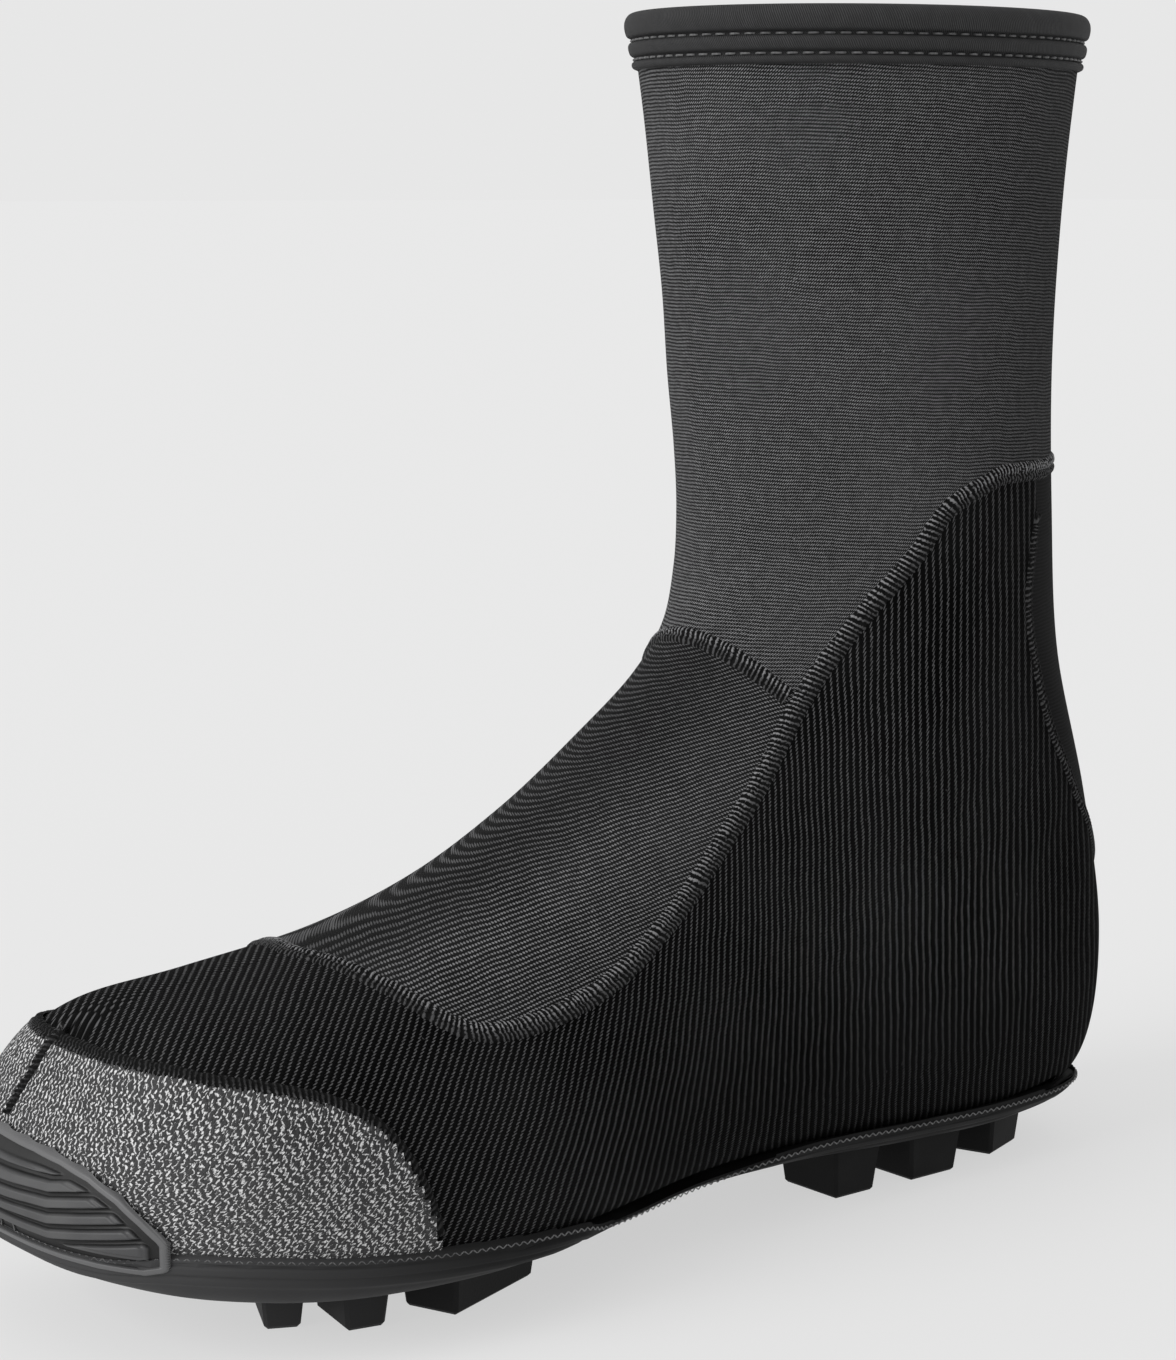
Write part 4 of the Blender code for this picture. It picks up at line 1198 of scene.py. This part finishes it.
@dataclass
class Seam:
    """An overlock seam: a low band with threads wound across it in two lanes.

    Attributes:
        shop: Where pieces are made.
        name: The seam's name.
        path: Its stations and turns in radians.
        finish: Its material.
        width: Width of the band.
        height: Height of the threads over the cloth.
        pitch: Distance from one thread to the next.
        lean: How far a thread leans along the seam over the whole width, in metres.
        wander: How far the threads stray from their even places.
        base: Height of the cloth under it over the skin.
        node: The CAD node that it stands for, if any.
    """

    shop: Workshop
    name: str
    path: tuple[np.ndarray, np.ndarray]
    finish: bpy.types.Material
    width: float = 0.0052
    height: float = 0.0009
    pitch: float = 0.0013
    lean: float = 0.0012
    wander: float = 0.00036
    base: float = 0.0
    node: str = ""

    def samples(self, spacing: float) -> tuple[np.ndarray, ...]:
        """Evenly spaced places along the seam.

        Args:
            spacing: Distance between samples.

        Returns:
            Distances along, stations, turns, and (station, turn) per metre to the side.
        """
        skin = self.shop.skin
        station, turn = self.path
        points = skin.bare(station, turn)
        run = np.concatenate([[0], np.cumsum(np.linalg.norm(np.diff(points, axis=0), axis=1))])
        at = np.linspace(0, run[-1], max(4, int(run[-1] / spacing) + 1))
        station, turn = np.interp(at, run, station), np.interp(at, run, turn)
        place, normal, by_station, by_turn = skin.frame(station, turn)
        ahead = np.gradient(place, axis=0)
        aside = np.cross(normal, ahead)
        aside /= np.linalg.norm(aside, axis=1, keepdims=True)
        shift = [
            np.linalg.lstsq(np.stack([a, b], axis=1), s, rcond=None)[0]
            for a, b, s in zip(by_station, by_turn, aside)
        ]
        return at, station, turn, np.array(shift)

    def profile(self, along: np.ndarray, side: np.ndarray) -> np.ndarray:
        """Height of the seam at a distance along it and a share of its half width."""
        strand = 0.5 + 0.5 * np.cos(2 * np.pi * along / self.pitch)
        crown = np.maximum(1 - np.abs(side) ** 4, 0)
        lanes = 1 - 0.35 * np.exp(-(((side - 0.1) / 0.16) ** 2))
        return self.base - 0.0003 + (self.height + 0.0003) * crown * lanes * (0.55 + 0.45 * strand)

    def build(self) -> bpy.types.Object:
        """Builds the band."""
        at, station, turn, shift = self.samples(0.00026)
        skin = self.shop.skin
        count = len(station) - 1
        knots = np.arange(0, at[-1] + 0.006, 0.003)
        chance = np.random.default_rng(len(self.name))
        sway = np.interp(at, knots, chance.normal(0, self.wander, len(knots)))

        def wound(along: np.ndarray, side: np.ndarray) -> np.ndarray:
            """Distance along, shifted so that the threads lean."""
            index = np.clip(np.round(along).astype(int), 0, count)
            return at[index] + side * self.lean / 2 + sway[index]

        def place(along: np.ndarray, side: np.ndarray) -> np.ndarray:
            """Points for a place along the seam and a share of its half width."""
            index = np.clip(np.round(along).astype(int), 0, count)
            ragged = 1 + 0.05 * np.sin(at[index] / self.pitch * 2.2) * np.abs(side)
            reach = side * self.width / 2 * ragged
            s = np.clip(station[index] + shift[index, 0] * reach, -0.99, skin.last)
            t = turn[index] + shift[index, 1] * reach
            return skin.surface(s, t, self.profile(wound(along, side), side))

        def marks(along: np.ndarray, side: np.ndarray, points: np.ndarray) -> np.ndarray:
            """Pattern coordinates: distance along and breadth, in millimetres."""
            return np.stack([wound(along, side), side * self.width / 2], axis=1) / MM

        piece = self.shop.sheet(
            self.name, (0, count, count), (1.0, -1.0, 14), place, None, marks
        )
        return self.shop.finish(piece, "seam_thread", self.finish, self.node)


def both_sides(path: tuple[Place, ...]) -> tuple[Place, ...]:
    """A path from the middle line, run from its far end on one side to the other's."""
    middle = path[0].turn
    mirrored = tuple(Place(p.station, 2 * middle - p.turn) for p in path[1:])
    return path[::-1] + mirrored


@dataclass
class ToeCap:
    """The coarse woven cap over the toe, with its edge seam and the gathered seam in front.

    Attributes:
        shop: Where pieces are made.
        finishes: The materials.
        lift: Height of the weave over the skin.
    """

    shop: Workshop
    finishes: Finishes
    lift: float = 0.0014

    def edge(self, turn: np.ndarray) -> np.ndarray:
        """The station where the cap's edge line crosses each turn."""
        skin = self.shop.skin
        low, high = np.full_like(turn, 0.3), np.full_like(turn, 5.2)
        for _ in range(HALVINGS):
            middle = (low + high) / 2
            inside = inside_side_line(skin, TOE_CAP_LINE, skin.bare(middle, turn), 0.0)
            low = np.where(inside, middle, low)
            high = np.where(inside, high, middle)
        return (low + high) / 2

    def weave(self) -> None:
        """Builds the woven sheet."""
        skin = self.shop.skin

        def keep(station: np.ndarray, turn: np.ndarray, middle: np.ndarray) -> np.ndarray:
            """Faces inside the cap's edge and above the sole's."""
            under = inside_side_line(skin, RAND_LINE, middle, 0.004) & (np.cos(turn) > 0)
            return inside_side_line(skin, TOE_CAP_LINE, middle, 0.0) & ~under

        def marks(station: np.ndarray, turn: np.ndarray, points: np.ndarray) -> np.ndarray:
            """Pattern coordinates: round the toe, and down over it, in millimetres."""
            x, y, z = (points / MM).T
            flat = np.maximum(z - 40.0, 0.0)
            return np.stack([np.arctan2(x + 12.0, -y - 92.0) * 50.0, z - 0.45 * y - 0.1 * flat], axis=1)

        piece = self.shop.sheet(
            "toe_weave",
            (-0.99, 4.6, 150),
            (math.radians(40), math.radians(320), 300),
            lambda s, t: skin.surface(s, t, self.lift),
            keep,
            marks,
        )
        self.shop.finish(piece, "heather_weave", self.finishes.weave, "toe_cap")

    def seams(self) -> None:
        """Builds the seam along the cap's edge and the gathered one down the toe."""
        turn = np.radians(np.linspace(292, 68, 400))
        edge = (self.edge(turn), turn)
        Seam(
            self.shop, "cap_edge_seam", edge, self.finishes.dark_seam, width=0.0044, height=0.0008,
            base=0.0008, node="toe_cap",
        ).build()
        Seam(
            self.shop, "toe_gather", Skin.path(TOE_SEAM, 120), self.finishes.dark_seam, width=0.0034,
            height=0.0009, pitch=0.0016, lean=0.0016, base=0.0013, node="toe_cap",
        ).build()

    def build(self) -> None:
        """Builds the cap and its seams."""
        self.weave()
        self.seams()


@dataclass
class Bumper:
    """The moulded toe bumper: a shield with a raised rim and bars that run round the toe.

    Lengths are metres; turns are degrees from the bumper's middle direction.

    Attributes:
        shop: Where pieces are made.
        finishes: The materials.
        under: Height of its foot over the skin.
        base: Height of the grooves' floor over its foot.
        relief: Height of the rim and the bars over the grooves' floor.
        rim: Breadth of the rim.
        rim_gap: Breadth of the gap between the rim and the bars.
        groove: Breadth of a groove between bars.
        radius: Radius that the shield is unrolled with.
        spread: Turn from its middle to either end.
        heading: Turn from -Y to its middle direction.
        pivot: X and Y of the axis that its turns are counted round.
        foot: Height where the sole meets it.
        tuck: How far its lower edge reaches down behind the sole.
        tall: Height of the shield in its middle, over the sole.
        outline: Rows of a share of the spread, and the low and high edge as shares of tall.
        levels: Heights of the grooves.
    """

    shop: Workshop
    finishes: Finishes
    under: float = 0.0018
    base: float = 0.0010
    relief: float = 0.0014
    rim: float = 0.0018
    rim_gap: float = 0.0019
    groove: float = 0.0013
    radius: float = 0.044
    spread: float = 62.5
    heading: float = -13.0
    pivot: tuple[float, float] = (-0.012, -0.100)
    foot: float = 0.0264
    tuck: float = 0.0035
    tall: float = 0.0202
    outline: tuple[tuple[float, float, float], ...] = (
        (0.00, 0.00, 1.00), (0.13, 0.00, 1.00), (0.38, 0.00, 0.97), (0.54, 0.00, 0.92),
        (0.69, 0.00, 0.82), (0.82, 0.00, 0.65), (0.91, 0.00, 0.46), (0.98, 0.05, 0.28),
        (1.00, 0.10, 0.20),
    )
    levels: tuple[float, ...] = (0.0266, 0.0299, 0.0333, 0.0367, 0.0402, 0.0426)

    def edges(self, turn: np.ndarray) -> tuple[np.ndarray, np.ndarray]:
        """Low and high height of the outline at each turn."""
        share = [row[0] for row in self.outline]
        low = np.interp(np.abs(turn) / self.spread, share, [row[1] for row in self.outline])
        high = np.interp(np.abs(turn) / self.spread, share, [row[2] for row in self.outline])
        return self.foot - self.tuck + low * self.tall, self.foot + high * self.tall

    def inward(self, turn: np.ndarray, height: np.ndarray) -> np.ndarray:
        """Distance inside the outline, measured on the unrolled shield."""
        line = np.linspace(-self.spread, self.spread, 240)
        low, high = self.edges(line)
        x = np.radians(line) * self.radius
        edge = np.concatenate([np.stack([x, low], 1), np.stack([x, high], 1)])
        ends = np.linspace(0, 1, 12)[:, None]
        for k in (0, -1):
            foot, head = np.stack([x[k], low[k]]), np.stack([x[k], high[k]])
            edge = np.concatenate([edge, foot * (1 - ends) + head * ends])
        flat = np.stack([np.radians(turn) * self.radius, height], axis=1)
        nearest = np.full(len(flat), 1.0)
        for point in edge:
            nearest = np.minimum(nearest, np.hypot(flat[:, 0] - point[0], flat[:, 1] - point[1]))
        return nearest

    def height_over(self, turn: np.ndarray, height: np.ndarray) -> np.ndarray:
        """Height of the moulding over its foot: rim, gap, bars and grooves."""
        inside = self.inward(turn, height)
        edge = np.sqrt(np.clip(1 - (1 - np.clip(inside / 0.0007, 0, 1)) ** 2, 0, 1))
        rim = 1 - smooth_step(self.rim - 0.0003, self.rim + 0.0002, inside)
        bars = smooth_step(self.rim + self.rim_gap - 0.0003, self.rim + self.rim_gap + 0.0002, inside)
        step = smooth_step(self.rim + self.rim_gap + 0.0007, self.rim + self.rim_gap + 0.0011, inside)
        rise = 0.00016 * np.maximum(np.abs(turn) - 31, 0)
        for level in self.levels:
            away = np.abs(height - level - rise)
            bars = bars * smooth_step(self.groove / 2 - 0.0003, self.groove / 2 + 0.0003, away)
        bars = bars * (0.72 + 0.28 * step)
        return (self.base + self.relief * np.maximum(rim, bars)) * edge

    def build(self) -> None:
        """Builds the shield as a fine grid laid over the cap."""
        skin = self.shop.skin
        form = bmesh.new()
        bmesh.ops.create_grid(form, x_segments=400, y_segments=260, size=0.5)
        share = np.array([v.co[:2] for v in form.verts]) + 0.5
        points = skin.surface(-0.9998 + 5.5 * share[:, 1], 2 * math.pi * share[:, 0], self.under)
        for vertex, point in zip(form.verts, points):
            vertex.co = point
        tree = BVHTree.FromBMesh(form)
        form.free()
        middle = Vector((self.pivot[0] + skin.shift.x, self.pivot[1] + skin.shift.y, 0.0))

        def place(level: np.ndarray, turn: np.ndarray) -> np.ndarray:
            """Points of the moulding for a share of its height and a turn in radians."""
            degrees = np.degrees(turn)
            low, high = self.edges(degrees)
            height = low + (high - low) * level
            over = self.height_over(degrees, height)
            found = []
            for angle, z, lift in zip(np.radians(degrees + self.heading), height, over):
                way = Vector((math.sin(angle), -math.cos(angle), 0.0))
                hit = tree.ray_cast(middle + Vector((0, 0, z)), way)[0]
                found.append(hit + way * lift)
            return np.array(found)

        def marks(level: np.ndarray, turn: np.ndarray, points: np.ndarray) -> np.ndarray:
            """Share of the full relief, and how much a place belongs to the pale rim."""
            degrees = np.degrees(turn)
            low, high = self.edges(degrees)
            height = low + (high - low) * level
            share = self.height_over(degrees, height) / (self.base + self.relief)
            inside = self.inward(degrees, height)
            rim = 1 - smooth_step(self.rim - 0.0004, self.rim + 0.0001, inside)
            share = np.where(inside < self.rim / 2, 1.0, share)
            return np.stack([share, 0.6 * rim], axis=1)

        reach = math.radians(self.spread)
        piece = self.shop.sheet(
            "bumper_moulding", (0.0, 1.0, 130), (-reach, reach, 250), place, None, marks
        )
        self.shop.finish(piece, "bumper_rubber", self.finishes.bumper, "toe_bumper")


@dataclass
class CollarBinding:
    """The elastic tape folded over the top edge, with two rows of stitches and a thin lip.

    Attributes:
        shop: Where pieces are made.
        finishes: The materials.
        rows: The tape's profile: lifts over the skin and heights from the top, in metres.
        stitch_rows: Heights of the stitch rows from the top.
        stitch_pitch: Distance from one stitch to the next.
        stitch_length: Length of a stitch.
    """

    shop: Workshop
    finishes: Finishes
    rows: tuple[tuple[float, float], ...] = (
        (-0.0046, -0.0130), (-0.0048, -0.0060), (-0.0046, -0.0010), (-0.0036, 0.0008),
        (-0.0016, 0.0013), (0.0004, 0.0009), (0.0016, -0.0006), (0.0020, -0.0022),
        (0.0019, -0.0038), (0.0015, -0.0046), (0.0004, -0.0050), (0.0002, -0.0057),
        (0.0012, -0.0061), (0.0017, -0.0070), (0.0016, -0.0084), (0.0012, -0.0091),
        (0.0003, -0.0095), (0.0001, -0.0102), (0.0011, -0.0107), (0.0014, -0.0114),
        (0.0011, -0.0121), (0.0002, -0.0125),
    )
    stitch_rows: tuple[float, ...] = (-0.00535, -0.00990)
    stitch_pitch: float = 0.0038
    stitch_length: float = 0.0023

    def tape(self) -> None:
        """Builds the folded tape."""
        skin = self.shop.skin
        profile = smooth_line(np.array(self.rows), 110)
        level = float(skin.rise(2.0))

        def place(row: np.ndarray, turn: np.ndarray) -> np.ndarray:
            """Points of the tape for a row of the profile and a turn."""
            index = np.clip(np.round(row).astype(int), 0, len(profile) - 1)
            lift, drop = profile[index, 0], profile[index, 1]
            station = skin.station_at(turn, level + np.minimum(drop, 0.0))
            points = skin.surface(station, turn, lift)
            points[:, 2] = level + drop
            return points

        def marks(row: np.ndarray, turn: np.ndarray, points: np.ndarray) -> np.ndarray:
            """Pattern coordinates: round the collar, and over the tape, in millimetres."""
            return np.stack([turn * 57.0 + row * 0.12, row * 0.25], axis=1)

        last = len(profile) - 1
        piece = self.shop.sheet(
            "binding_tape",
            (0, last, last),
            (0.0, 2 * math.pi, 420),
            place,
            None,
            marks,
            closed=True,
            flipped=True,
        )
        self.shop.finish(piece, "elastic_binding", self.finishes.tape, "collar_binding")

    def stitches(self) -> None:
        """Builds the two rows of stitches."""
        skin = self.shop.skin
        level = float(skin.rise(2.0))
        turns = np.linspace(0, 2 * math.pi, 1441)
        mesh_data = bmesh.new()
        for drop in self.stitch_rows:
            station = skin.station_at(turns, np.full_like(turns, level + drop))
            ring = skin.surface(station, turns, 0.0007)
            run = np.concatenate([[0], np.cumsum(np.linalg.norm(np.diff(ring, axis=0), axis=1))])
            for start in np.arange(0, run[-1] - self.stitch_length, self.stitch_pitch):
                at = start + self.stitch_length * np.linspace(0, 1, 5)
                line = np.stack([np.interp(at, run, ring[:, k]) for k in range(3)], axis=1)
                sunk = 0.0006 * np.abs(np.linspace(-1, 1, 5)) ** 3
                centre = np.array([skin.shift.x, SHAFT_MIDDLE + skin.shift.y, 0.0])
                out = line - centre
                out[:, 2] = 0
                out /= np.linalg.norm(out, axis=1, keepdims=True)
                add_thread(mesh_data, line - out * sunk[:, None], 0.00030)
        piece = self.shop.link("binding_stitches", mesh_data)
        self.shop.finish(piece, "elastic_binding", self.finishes.thread, "collar_binding")

    def build(self) -> None:
        """Builds the tape and its stitches."""
        self.tape()
        self.stitches()


def add_thread(mesh_data: bmesh.types.BMesh, line: np.ndarray, radius: float, sides: int = 6) -> None:
    """Adds a short round thread along a line of points, by extruding a circle.

    Args:
        mesh_data: Where it is added.
        line: Points along it.
        radius: Its radius.
        sides: Number of sides.
    """
    ahead = np.gradient(line, axis=0)
    first = bmesh.ops.create_circle(mesh_data, segments=sides, radius=radius, cap_ends=True)["verts"]
    turn = Vector((0, 0, 1)).rotation_difference(Vector(ahead[0])).to_matrix()
    for vertex in first:
        vertex.co = turn @ vertex.co + Vector(line[0])
    face = first[0].link_faces[0]
    for k in range(1, len(line)):
        face = bmesh.ops.extrude_discrete_faces(mesh_data, faces=[face])["faces"][0]
        bend = Vector(ahead[k - 1]).rotation_difference(Vector(ahead[k])).to_matrix()
        for vertex in face.verts:
            vertex.co = bend @ (vertex.co - Vector(line[k - 1])) + Vector(line[k])


@dataclass
class SoleEdge:
    """The rubber sole: its rand with lengthwise steps, and the stitched line along its top.

    Attributes:
        shop: Where pieces are made.
        finishes: The materials.
        lift: Height of the rubber over the skin.
        steps: Depths below the rand's top edge and heights of its face there, in metres.
    """

    shop: Workshop
    finishes: Finishes
    lift: float = 0.00345
    steps: tuple[tuple[float, float], ...] = (
        (-0.0004, -0.0034), (0.0000, -0.0012), (0.0003, -0.0005), (0.0010, -0.0003),
        (0.0013, -0.0007), (0.0017, -0.0007), (0.0020, 0.0000), (0.0036, 0.0001),
        (0.0039, -0.0003), (0.0043, -0.0003), (0.0046, 0.0000), (0.0060, 0.0000),
        (0.0066, -0.0004), (0.0074, -0.0007), (0.0110, -0.0009), (0.0200, -0.0010),
    )

    def depth(self, points: np.ndarray) -> np.ndarray:
        """How far points lie under the rand's top line."""
        y, z = self.shop.skin.side_line(RAND_LINE)
        return np.interp(points[..., 1], y, z) - points[..., 2]

    def face(self, station: np.ndarray, turn: np.ndarray) -> np.ndarray:
        """Points of the rubber's face, stepped by their depth under the top line."""
        skin = self.shop.skin
        plain_face = skin.surface(station, turn, self.lift)
        table = np.array(self.steps)
        over = np.interp(self.depth(plain_face), table[:, 0], table[:, 1])
        return skin.surface(station, turn, self.lift + over)

    def top(self, station: np.ndarray, side: int) -> np.ndarray:
        """The turn where the rand's top line lies, on the outer side for 1 or the inner for -1."""
        skin = self.shop.skin
        low, high = np.full_like(station, 0.15), np.full_like(station, math.pi * 0.8)
        for _ in range(HALVINGS):
            middle = (low + high) / 2
            below = self.depth(skin.surface(station, middle * side, self.lift)) > 0
            low = np.where(below, middle, low)
            high = np.where(below, high, middle)
        return (low + high) / 2 * side

    def rand(self) -> None:
        """Builds the rand and the plate under the foot as one sheet, its rows set by the top line."""
        stations = np.concatenate([np.linspace(-0.98, 2.0, 100), np.linspace(2.02, 12.9, 330)])
        tops = {side: self.top(stations, side) for side in (1, -1)}

        def place(row: np.ndarray, share: np.ndarray) -> np.ndarray:
            """Points for a row of stations and a share from the inner top to the outer."""
            index = np.clip(np.round(row).astype(int), 0, len(stations) - 1)
            edge = np.where(share < 0, -tops[-1][index], tops[1][index])
            dense = np.sign(share) * (1 - (1 - np.abs(share)) ** 1.7)
            station = stations[index]
            return self.face(station, dense * (edge + 0.012))

        def keep(row: np.ndarray, share: np.ndarray, middle: np.ndarray) -> np.ndarray:
            """Faces that lie under the rand's top line."""
            return self.depth(middle) > -0.0008

        last = len(stations) - 1
        piece = self.shop.sheet("rand_rubber", (0, last, last), (-1.0, 1.0, 150), place, keep)
        self.shop.finish(piece, "sole_rubber", self.finishes.rand)

    def stitching(self) -> None:
        """Builds the zigzag of thread along the rand's top line."""
        skin = self.shop.skin
        mesh_data = bmesh.new()
        for side in (1, -1):
            station = np.linspace(0.4, 11.6, 900)
            turn = self.top(station, side)
            line = skin.surface(station, turn, self.lift - 0.0006)
            line[:, 2] -= 0.0005
            run = np.concatenate([[0], np.cumsum(np.linalg.norm(np.diff(line, axis=0), axis=1))])
            for k, start in enumerate(np.arange(0, run[-1], 0.0011)):
                at = start + 0.0010 * np.linspace(0, 1, 3)
                dash = np.stack([np.interp(at, run, line[:, c]) for c in range(3)], axis=1)
                dash[:, 2] += np.linspace(-0.00035, 0.00035, 3) * (1 if k % 2 else -1)
                add_thread(mesh_data, dash, 0.00017, 4)
        piece = self.shop.link("rand_stitches", mesh_data)
        self.shop.finish(piece, "sole_rubber", self.finishes.thread)

    def build(self) -> None:
        """Builds the rubber and its stitched line, and dresses the lugs."""
        self.rand()
        self.stitching()
        for piece in bpy.data.objects:
            if piece.type == "MESH" and piece.name.startswith("outsole"):
                piece.data.materials.clear()
                piece.data.materials.append(self.finishes.rand)


@dataclass
class Stage:
    """The floor, the lights and the camera.

    Attributes:
        shift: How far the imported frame's origin lies from the section tables' own.
        camera_place: Where the camera stands, before the shift.
        heading: Degrees that the camera turns from +Y to the left.
        pitch: Degrees that it looks down.
        lens: Its focal length in millimetres.
    """

    shift: Vector
    camera_place: tuple[float, float, float] = (0.59001, -0.47790, 0.24857)
    heading: float = 50.95
    pitch: float = 8.68
    lens: float = 85.08

    def floor(self) -> None:
        """Builds the pale floor, partly glowing so that its shadows stay faint."""
        mesh_data = bmesh.new()
        bmesh.ops.create_grid(mesh_data, x_segments=1, y_segments=1, size=60.0)
        floor = Workshop.link("floor", mesh_data)
        made, _, shader = start_material("paper_floor")
        shader.inputs["Base Color"].default_value = (0.21, 0.21, 0.21, 1.0)
        shader.inputs["Roughness"].default_value = 1.0
        shader.inputs["Specular IOR Level"].default_value = 0.0
        shader.inputs["Emission Color"].default_value = (0.578, 0.578, 0.578, 1.0)
        shader.inputs["Emission Strength"].default_value = 1.0
        floor.data.materials.append(made)

    def light(self, name: str, place: tuple[float, float, float], power: float, spread: float) -> None:
        """Adds a broad distant light that shines from a place towards the shoe."""
        lamp = bpy.data.lights.new(name, "SUN")
        lamp.energy = power
        lamp.angle = math.radians(spread)
        holder = bpy.data.objects.new(name, lamp)
        holder.location = place
        way = Vector((0.0, 0.0, 0.1)) - Vector(place)
        holder.rotation_euler = way.to_track_quat("-Z", "Y").to_euler()
        bpy.context.scene.collection.objects.link(holder)

    def camera(self) -> None:
        """Places the camera at the photograph's view."""
        lens = bpy.data.cameras.new("camera")
        lens.lens = self.lens
        lens.sensor_width = 36.0
        lens.clip_start = 0.01
        camera = bpy.data.objects.new("camera", lens)
        camera.location = Vector(self.camera_place) + self.shift
        camera.rotation_euler = (math.radians(90 - self.pitch), 0.0, math.radians(self.heading))
        bpy.context.scene.collection.objects.link(camera)
        bpy.context.scene.camera = camera

    def build(self) -> None:
        """Builds the whole stage."""
        self.floor()
        self.camera()
        self.light("key", (-0.12, -0.98, 0.60), 2.2, 35)
        world = bpy.data.worlds.new("studio")
        bpy.context.scene.world = world
        world.use_nodes = True
        world.node_tree.nodes["Background"].inputs[0].default_value = (0.80, 0.80, 0.80, 1.0)
        world.node_tree.nodes["Background"].inputs[1].default_value = 1.0
        bpy.context.scene.view_settings.view_transform = "Standard"


def main() -> None:
    """Builds the looks in order."""
    logging.basicConfig(level=logging.INFO, format="%(name)s: %(message)s")
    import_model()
    low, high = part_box("collar_binding")
    shift = Vector(((low.x + high.x) / 2, (low.y + high.y) / 2 - SHAFT_MIDDLE, 0.0))
    skin = Skin(shift)
    LOG.info("the frame lies %.5f, %.5f m from the tables", shift.x, shift.y)
    shop = Workshop(skin)
    finishes = Finishes()
    Upper(shop, finishes).build()
    for name, places, node, width, finish in (
        ("side_overlock", both_sides(SIDE_SEAM), "side_seam", 0.0054, finishes.seam),
        ("instep_overlock", both_sides(INSTEP_SEAM), "instep_seam", 0.0050, finishes.seam),
        ("back_overlock", both_sides(BACK_SEAM[::-1]), "back_seam", 0.0036, finishes.dark_seam),
        ("centre_overlock", CENTRE_SEAM, "centre_seam", 0.0036, finishes.dark_seam),
    ):
        path = Skin.path(places, 60 * len(places))
        Seam(shop, name, path, finish, width=width, node=node).build()
    ToeCap(shop, finishes).build()
    Bumper(shop, finishes).build()
    CollarBinding(shop, finishes).build()
    SoleEdge(shop, finishes).build()
    Stage(shift).build()


if __name__ == "__main__":
    main()
